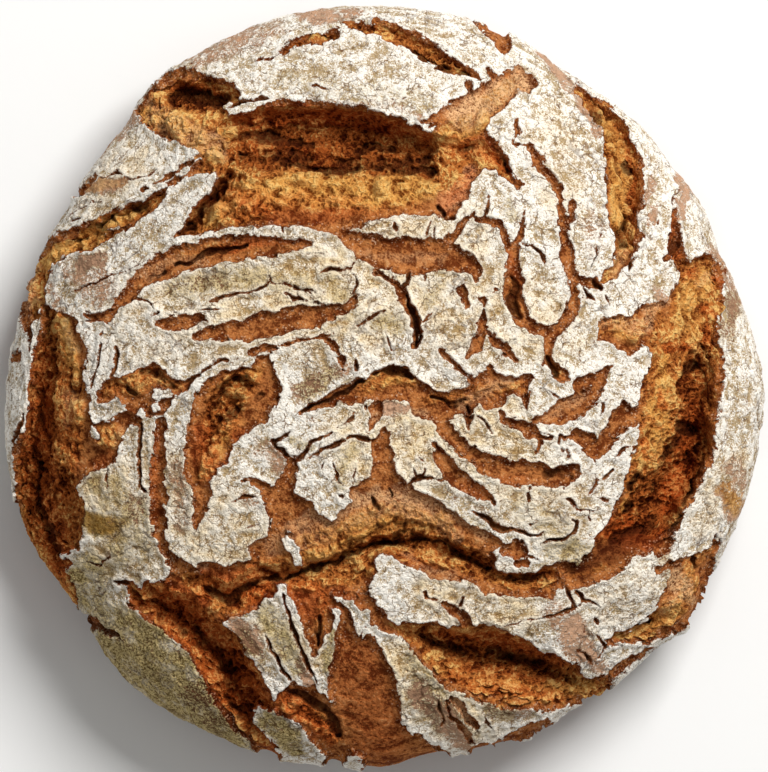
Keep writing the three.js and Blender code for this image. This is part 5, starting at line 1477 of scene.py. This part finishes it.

# %% Tones drawn as strokes
mark_x, mark_y, _ = wander(drawn_points, 1.8, 87).T
TONES_FROM, TONES_FADE = 14, 10  # mm above the sole
SOLE_TAN, TAN_FROM, TAN_FADE = 0.7, 2, 26
on_top = smooth((drawn_points[:, 2] - TONES_FROM) / TONES_FADE)
drawn = {"thin": THIN, "tan_and_shade": TAN_AND_SHADE, "gold": GOLD, "red": RED, "dust_and_light": DUST_AND_LIGHT, "cream": CREAM}
for name, strokes in drawn.items():
    tones[name] = soft_marks(mark_x, mark_y, strokes) * on_top
underneath = 1 - smooth((drawn_points[:, 2] - TAN_FROM) / TAN_FADE)
tones["tan_and_shade"] = np.maximum(tones["tan_and_shade"], SOLE_TAN * underneath)
for name, values in tones.items():
    print(name, "from", values.min().round(2), "to", values.max().round(2))

# %% [markdown]
# ## Pieces
# A mesh stays under 200,000 triangles, so the crown is nine pieces and the belt with the sole is the tenth.
# Each piece is closed by a skirt and a fan inside the loaf, so every one of them is a sound solid. Numbers
# for the material, the shared normals and a flat layout of the surface go on with the mesh.

# %% Build one closed piece
SKIRT_SHARE, SKIRT_HEIGHT = 0.965, 14.0
SKIRT_V, FAN_V = 0.982, 0.995  # places of the closing faces on the unit square, above the surface's own


def new_object(name, data):
    """An object with this data, linked into the scene."""
    item = bpy.data.objects.new(name, data)
    bpy.context.scene.collection.objects.link(item)
    return item


def build_piece(name, faces, rim, layout):
    """A mesh from some of the triangles, closed from inside: its rim goes steeply down to a ring 14 mm up,
    with x and y times 0.965, and a fan fills that ring. `layout` gives each point its place on the unit
    square; the closing faces get the strip along the top of it."""
    used, local = np.unique(faces, return_inverse=True)
    local = local.reshape(faces.shape)
    place = np.full(len(all_points), -1)
    place[used] = np.arange(len(used))
    upper = place[rim]
    lower = len(used) + np.arange(len(rim))
    centre_point = len(used) + len(rim)
    ring = all_points[rim] * [SKIRT_SHARE, SKIRT_SHARE, 0] + [0, 0, SKIRT_HEIGHT]
    skirt = np.concatenate([
        np.stack([upper, lower, np.roll(lower, -1)], 1),
        np.stack([upper, np.roll(lower, -1), np.roll(upper, -1)], 1),
        np.stack([np.roll(lower, -1), lower, np.full(len(rim), centre_point)], 1),
    ])
    triangles = np.concatenate([local, skirt])
    points = np.concatenate([all_points[used], ring, [ring.mean(0)]]) * MM
    mesh = bpy.data.meshes.new(name)
    mesh.from_pydata(points, [], triangles)
    mesh.update()
    piece = new_object(name, mesh)
    no_tone = np.zeros(len(rim) + 1)
    for tone, values in tones.items():
        attribute = mesh.attributes.new(tone, "FLOAT", "POINT")
        attribute.data.foreach_set("value", np.append(values[used], no_tone).astype(np.float32))
    along = np.append(np.arange(len(rim)) / len(rim), 0.5)
    spare = np.stack([along, np.full(len(along), FAN_V)], axis=1)
    corner = np.concatenate([layout, spare])[triangles]
    corner[len(local):, :, 1] = np.where(skirt < len(used), SKIRT_V, FAN_V)
    corner[len(local):, :, 0] = np.where(skirt < centre_point, skirt % len(rim) / len(rim), 0.5)
    mesh.uv_layers.new(name="OFBake").data.foreach_set("uv", corner.ravel().astype(np.float32))
    mesh.polygons.foreach_set("use_smooth", np.ones(len(triangles), bool))
    vertex_normals = np.concatenate([normals[used], np.tile([0.0, 0.0, -1.0], (len(rim) + 1, 1))])
    mesh.normals_split_custom_set_from_vertices(vertex_normals)
    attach(piece, "root")
    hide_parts("loaf")
    return piece


print("pieces close", SKIRT_HEIGHT, "mm above the sole")

# %% The crown's nine pieces
SURFACE_SHARE = 0.97  # share of the unit square that the surface itself may fill
unit = np.linspace(0, 1, TILE_CELLS + 1)
tile_v, tile_u = np.meshgrid(unit * SURFACE_SHARE, unit, indexing="ij")
pieces = []
for number, (faces, rim, part) in enumerate(zip(tile_faces, tile_rims, tile_spans)):
    flat = np.zeros((len(all_points), 2))
    flat[part.ravel()] = np.stack([tile_u.ravel(), tile_v.ravel()], axis=1)
    order = np.unique(faces)
    pieces.append(build_piece(f"crown_{number + 1}", faces, rim, flat[order]))
print([len(p.data.polygons) for p in pieces], "triangles")

# %% The belt with the sole, laid out in four strips, one above the other
STRIP_LENGTH, STRIP_HEIGHT = 0.99, 0.242
flat = np.zeros((len(all_points), 2))
quarter = len(border) // 4
for k, numbers in enumerate(ring_index):
    around = np.arange(len(numbers))
    down = k / (len(ring_index) - 1)
    place_u = (around % quarter) / quarter * STRIP_LENGTH
    place_v = (around // quarter + SURFACE_SHARE * down) * STRIP_HEIGHT
    flat[numbers] = np.stack([place_u, place_v], axis=1)
order = np.unique(belt_faces)
pieces.append(build_piece("belt_and_sole", belt_faces, border[::-1], flat[order]))
print(pieces[-1].name, len(pieces[-1].data.polygons), "triangles")

# %% [markdown]
# ## The crust's material
# One material dresses the whole loaf, because flour, skin and crumb run into each other. It reads the numbers
# on the mesh: the distance from a plate's edge says flour or crust, and finer noise in the shader frays that
# border further than the mesh can. Helpers keep the node wiring short to read.

# %% Helpers for nodes
crust = bpy.data.materials.new("floured_rye_crust")
crust.use_nodes = True
nodes, links = crust.node_tree.nodes, crust.node_tree.links
shader = nodes["Principled BSDF"]


def socket(kind, values, output=0, **settings):
    """A new node with its inputs set or linked, by number or name; gives back one of its outputs."""
    node = nodes.new(kind)
    for key, value in settings.items():
        setattr(node, key, value)
    for key, value in values.items():
        if isinstance(value, bpy.types.NodeSocket):
            links.new(value, node.inputs[key])
        else:
            node.inputs[key].default_value = value
    return node.outputs[output]


def times(a, b, plus=0.0, clamp=False):
    """a times b, plus a number or a socket."""
    return socket("ShaderNodeMath", {0: a, 1: b, 2: plus}, operation="MULTIPLY_ADD", use_clamp=clamp)


def add(a, b, clamp=False):
    return socket("ShaderNodeMath", {0: a, 1: b}, operation="ADD", use_clamp=clamp)


def less(a, b, clamp=False):
    """a less b."""
    return socket("ShaderNodeMath", {0: a, 1: b}, operation="SUBTRACT", use_clamp=clamp)


def tone(name):
    return socket("ShaderNodeAttribute", {}, output=2, attribute_name=name)


def ramp(value, low, high):
    """0 at low, 1 at high, smooth between."""
    return socket("ShaderNodeMapRange", {0: value, 1: low, 2: high}, interpolation_type="SMOOTHSTEP")


def mix(share, a, b, blend="MIX"):
    return socket("ShaderNodeMix", {0: share, 6: a, 7: b}, output=2, data_type="RGBA", blend_type=blend)


PER_METRE = 1000  # mm in a metre, because a node's scale counts bumps to the metre
place = socket("ShaderNodeTexCoord", {}, output=3)


def shader_noise(size_mm, detail=2.0, roughness=0.55):
    """Noise whose bumps are size_mm wide, from 0 to 1."""
    values = {"Vector": place, "Scale": PER_METRE / size_mm, "Detail": detail, "Roughness": roughness}
    return socket("ShaderNodeTexNoise", values)


print("nodes to start with:", len(nodes))

# %% Where the flour is
broad, coarse = shader_noise(24.0, 2.0), shader_noise(7.0, 3.0)
medium, fine = shader_noise(2.0, 2.0), shader_noise(0.8, 2.0, 0.7)
frayed = add(tone("edge"), times(medium, 1.5, -0.75 - 0.2))
frayed = add(frayed, times(fine, 0.9, -0.45))
on_plate = ramp(frayed, -0.08, 0.16)
thin = add(tone("thin"), times(coarse, 1.4, -0.80), clamp=True)
grains = socket("ShaderNodeTexVoronoi", {"Vector": place, "Scale": PER_METRE / 0.55}, output=1)
grains = socket("ShaderNodeSeparateColor", {0: grains})
speckle = add(times(fine, 0.7), times(medium, 0.3))
speckle = times(less(grains, 0.5), 0.2, speckle)
rubbed = times(thin, 0.40, 0.21)
dusted = ramp(less(speckle, rubbed), 0.0, 0.16)
floured = times(on_plate, dusted)
print("nodes with the flour's place:", len(nodes))

# %% Bubbles in the crumb, finer than the mesh
swirl = socket("ShaderNodeTexNoise", {"Vector": place, "Scale": PER_METRE / 1.6, "Detail": 1.0}, output=1)
swirled = socket("ShaderNodeVectorMath", {0: swirl, 1: (0.0016,) * 3, 2: place}, operation="MULTIPLY_ADD")
cells_of_bubbles = {"Vector": swirled, "Scale": PER_METRE / 1.7}
wall = socket("ShaderNodeTexVoronoi", cells_of_bubbles, feature="DISTANCE_TO_EDGE")
bubble = ramp(wall, 0.02, 0.36)
print("with bubbles:", len(nodes))

# %% Colours of the smooth bare crust, darker in the low places of its texture as painted shade and paler on its tops as painted highlight
CHESTNUT, TOFFEE = (0.150, 0.034, 0.008, 1), (0.50, 0.185, 0.055, 1)
TOP_HIGHLIGHT, SCORCH_AND_SHADE, STRAY_FLOUR = (0.66, 0.34, 0.14, 1), (0.055, 0.010, 0.003, 1), (0.70, 0.47, 0.31, 1)
# Painted shade and highlight: the bare crust is darker in the low places of its texture and paler on its
# tops.
height = add(times(medium, 1.0, -0.5), tone("relief"))
height = add(height, times(speckle, 1.3, -0.65))
brown = mix(ramp(height, 0.22, 0.80), CHESTNUT, TOFFEE)
brown = mix(ramp(height, 0.80, 1.2), brown, TOP_HIGHLIGHT)
stray = times(tone("edge"), 0.05, 0.90)
stray = ramp(less(grains, less(1.72, stray)), 0.0, 0.04)
# Tanned crust is darker, nearly black in its low places as painted shade, and the tanning over the south-west
# is painted shade too.
toast_and_shade = times(tone("tan_and_shade"), 0.8)
brown = mix(toast_and_shade, brown, mix(ramp(height, 0.30, 0.90), SCORCH_AND_SHADE, CHESTNUT))
brown = mix(times(stray, 0.55), brown, STRAY_FLOUR)
print("with smooth crust:", len(nodes))

# %% Colours of torn crumb, redder and darker in the depths as painted shade
RED_LOW, RED_HIGH = (0.110, 0.020, 0.004, 1), (0.54, 0.180, 0.040, 1)
GOLD_LOW, GOLD_HIGH = (0.24, 0.066, 0.010, 1), (0.78, 0.39, 0.098, 1)
STRAW_HIGHLIGHT, HONEY, DUST_AND_LIGHT_COLOUR = (0.88, 0.56, 0.19, 1), (0.80, 0.465, 0.145, 1), (0.82, 0.51, 0.27, 1)
REDDER, DEPTH_SHADE, EDGE_SHADE = (1.0, 0.66, 0.55, 1), (0.66, 0.48, 0.40, 1), (0.60, 0.46, 0.40, 1)
PIT_SHADE = (0.045, 0.009, 0.003, 1)
height = less(height, times(bubble, 0.28, -0.11))
# Painted shade and highlight: the crumb is darker in its low places and bubbles, and straw-pale on its
# highest tips.
low = ramp(height, 0.12, 0.80)
red_crumb = mix(low, RED_LOW, RED_HIGH)
gold_crumb = mix(low, GOLD_LOW, GOLD_HIGH)
clump = shader_noise(4.0, 2.0)
# Painted shade: deep places lose their gold and turn to the red crumb.
dull = times(tone("red"), 0.5, times(ramp(tone("deep"), 0.4, 0.75), 0.5))
golden = less(times(clump, 1.3, -0.62), dull)
golden = add(tone("gold"), golden, clamp=True)
crumb = mix(golden, red_crumb, gold_crumb)
crumb = mix(ramp(height, 0.80, 1.25), crumb, STRAW_HIGHLIGHT)
honey = times(ramp(coarse, 0.50, 0.66), times(tone("gold"), 0.4))
crumb = mix(honey, crumb, HONEY)
bare = mix(tone("torn"), brown, crumb)
bare = mix(times(tone("dust_and_light"), ramp(speckle, 0.30, 0.62)), bare, DUST_AND_LIGHT_COLOUR)
bare = mix(times(tone("red"), 0.9), bare, REDDER, "MULTIPLY")
# Painted shade: the depths of the tears and the floors below the ledges are darkened.
bare = mix(times(tone("deep"), 0.8), bare, DEPTH_SHADE, "MULTIPLY")
# Painted shade on the bare crust beside the plates' edges, where the plates' walls would shade it.
bare = mix(times(ramp(tone("edge"), -1.7, -0.1), 0.45), bare, EDGE_SHADE, "MULTIPLY")
# Painted shade: the deep holes are coloured nearly black, as shade inside them.
bare = mix(times(tone("hollow"), 0.8), bare, PIT_SHADE)
print("with torn crumb:", len(nodes))

# %% Colours of the flour, and all of it together
BISCUIT, FLOUR_WHITE, SPECK = (0.46, 0.34, 0.19, 1), (1.0, 0.975, 0.92, 1), (0.33, 0.20, 0.10, 1)
CREAM_TINT, PINK_LOW, PINK_HIGH = (0.94, 0.79, 0.54, 1), (0.50, 0.31, 0.19, 1), (0.84, 0.67, 0.53, 1)
TAN_LOW, TAN_HIGH = (0.19, 0.13, 0.045, 1), (0.66, 0.52, 0.25, 1)
GLAZE_LOW, GLAZE_HIGH = (0.25, 0.120, 0.020, 1), (0.41, 0.235, 0.060, 1)
RIM_HIGHLIGHT_WHITE, RIM_HIGHLIGHT_CREAM = (0.97, 0.94, 0.88, 1), (0.94, 0.85, 0.68, 1)
HAIRLINE, FILM_BROWN, FILM_PINK = (0.30, 0.17, 0.085, 1), (0.34, 0.155, 0.060, 1), (0.68, 0.44, 0.30, 1)
FILM_AMBER, FILM_GOLD, FILM_TAN = (0.40, 0.17, 0.035, 1), (0.72, 0.42, 0.150, 1), (0.17, 0.085, 0.042, 1)
CRACK_BROWN_AND_SHADE = (0.070, 0.022, 0.007, 1)
powder = times(shader_noise(0.6, 2.0, 0.75), 0.72, times(medium, 0.28))
powder = times(less(broad, 0.5), 0.18, powder)
# Painted highlight and shade: the flour is whiter on the tops of its relief and more biscuit-coloured in its
# lows.
powder = times(less(tone("relief"), 0.5), 0.36, powder)
flour = mix(ramp(powder, 0.38, 0.55), BISCUIT, FLOUR_WHITE)
pits = times(ramp(grains, 0.78, 0.86), ramp(medium, 0.62, 0.42))
flour = mix(times(pits, 0.65), flour, SPECK)
creamy = times(tone("cream"), times(ramp(coarse, 0.38, 0.62), 0.7, 0.3))
flour = mix(creamy, flour, CREAM_TINT, "MULTIPLY")
pink = mix(ramp(speckle, 0.36, 0.60), PINK_LOW, PINK_HIGH)
flour = mix(times(thin, 0.55), flour, pink)
# Painted shade in part: tanning also darkens the flour on the shaded south-west side.
tan_and_shade_share = times(tone("tan_and_shade"), times(ramp(coarse, 0.36, 0.62), 0.5, 0.75), clamp=True)
flour = mix(tan_and_shade_share, flour, mix(ramp(speckle, 0.38, 0.60), TAN_LOW, TAN_HIGH))
glazed = times(times(tone("tan_and_shade"), tone("gold")), 0.9)
flour = mix(glazed, flour, mix(ramp(speckle, 0.30, 0.62), GLAZE_LOW, GLAZE_HIGH))
# Painted highlight: the flour is paler along the plates' edges, less so where it is thin or tanned.
rim_highlight = less(ramp(coarse, 0.36, 0.60), add(tone("tan_and_shade"), tone("thin")), clamp=True)
rim_highlight = times(ramp(frayed, 1.9, 0.4), rim_highlight)
rim_highlight_colour = mix(creamy, RIM_HIGHLIGHT_WHITE, RIM_HIGHLIGHT_CREAM)
flour = mix(times(rim_highlight, 0.8), flour, rim_highlight_colour)
bend = socket("ShaderNodeTexNoise", {"Vector": place, "Scale": PER_METRE / 4.0, "Detail": 2.0}, output=1)
bent = socket("ShaderNodeVectorMath", {0: bend, 1: (0.005,) * 3, 2: place}, operation="MULTIPLY_ADD")
split = socket("ShaderNodeTexVoronoi", {"Vector": bent, "Scale": PER_METRE / 5.5}, feature="DISTANCE_TO_EDGE")
hairline = times(ramp(split, 0.032, 0.008), ramp(shader_noise(5.0, 1.0), 0.50, 0.58))
flour = mix(times(hairline, 0.8), flour, HAIRLINE)
film = mix(tone("thin"), FILM_BROWN, FILM_PINK)
film = mix(tone("gold"), film, mix(low, FILM_AMBER, FILM_GOLD))
film = mix(times(tone("tan_and_shade"), 0.95), film, FILM_TAN)
colour = mix(floured, mix(times(on_plate, 0.8), bare, film), flour)
# The cracks show brown crust, and their near-black colour is also painted shade inside them.
colour = mix(times(tone("crack"), 0.75), colour, CRACK_BROWN_AND_SHADE)
links.new(colour, shader.inputs["Base Color"])
shader.inputs["Roughness"].default_value = 0.9
shader.inputs["Specular IOR Level"].default_value = 0.03
print("with flour:", len(nodes))

# %% The finest relief, as bump
BUMP_DEPTH = 0.0011  # metres
finest = times(medium, 0.6, times(speckle, 1.1))
finest = less(finest, times(bubble, times(tone("torn"), 0.45)))
finest = less(finest, times(hairline, times(on_plate, 0.5)))
finest = add(finest, times(floured, 0.2))
bump = socket("ShaderNodeBump", {"Height": finest, "Distance": BUMP_DEPTH, "Strength": 1.0})
links.new(bump, shader.inputs["Normal"])
for piece in pieces:
    piece.data.materials.append(crust)
print("material nodes:", len(nodes))

# %% [markdown]
# ## Stage
# The loaf is looked at from straight above. A lens so long that the view is nearly parallel keeps the rim
# from hiding behind the crown. A broad soft lamp stands high behind the top edge of the view, as a window
# would, and the pale surroundings fill the shadows.

# %% Floor, light and camera
VIEW_PIXELS, PIXELS_PER_MM = 768, 2.75
FRAME_WIDTH_MM = VIEW_PIXELS / PIXELS_PER_MM
CAMERA_HEIGHT = 6.0
AIM_HEIGHT = 0.055
LAMP_PLACE, LAMP_AIM = (0.92, 1.25, 1.85), (0, 0, 0.05)
LAMP_SIZE, LAMP_WATTS = 1.1, 65.0
FLOOR_REACH = 3.0
SENSOR_WIDTH = 36.0
WARM_WHITE, SURROUNDINGS = (1.0, 0.96, 0.90), 0.33

floor_mesh = bpy.data.meshes.new("floor")
floor_corners = [(FLOOR_REACH * a, FLOOR_REACH * b, 0) for a, b in ((-1, -1), (1, -1), (1, 1), (-1, 1))]
floor_mesh.from_pydata(floor_corners, [], [(0, 1, 2, 3)])
floor = new_object("floor", floor_mesh)
pale = bpy.data.materials.new("pale_floor")
pale.use_nodes = True
pale.node_tree.nodes["Principled BSDF"].inputs["Base Color"].default_value = (0.88, 0.91, 0.95, 1)
pale.node_tree.nodes["Principled BSDF"].inputs["Roughness"].default_value = 0.9
floor_mesh.materials.append(pale)
floor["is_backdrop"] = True

world = bpy.context.scene.world or bpy.data.worlds.new("studio")
bpy.context.scene.world = world
world.use_nodes = True
world.node_tree.nodes["Background"].inputs["Color"].default_value = (*WARM_WHITE, 1)
world.node_tree.nodes["Background"].inputs["Strength"].default_value = SURROUNDINGS


def lamp(name, position, size, watts, colour):
    """A square area lamp that faces the loaf."""
    light = bpy.data.lights.new(name, "AREA")
    light.shape, light.size, light.energy, light.color = "SQUARE", size, watts, colour
    item = new_object(name, light)
    item.location = position
    aim = LAMP_AIM - np.array(position)
    item.rotation_euler = Vector(aim).to_track_quat("-Z", "Y").to_euler()
    return item


lamp("window", LAMP_PLACE, LAMP_SIZE, LAMP_WATTS, WARM_WHITE)
camera = new_object("camera", bpy.data.cameras.new("camera"))
camera.data.sensor_fit = "HORIZONTAL"
camera.data.sensor_width = SENSOR_WIDTH
camera.data.lens = SENSOR_WIDTH * (CAMERA_HEIGHT - AIM_HEIGHT) / (FRAME_WIDTH_MM * MM)
camera.location = (-centre[0] * MM * trim[0], -centre[1] * MM * trim[1], CAMERA_HEIGHT)
camera.data.clip_end = 20.0
bpy.context.scene.camera = camera
bpy.context.scene.view_settings.view_transform = "Standard"
print("lens", round(camera.data.lens), "mm")
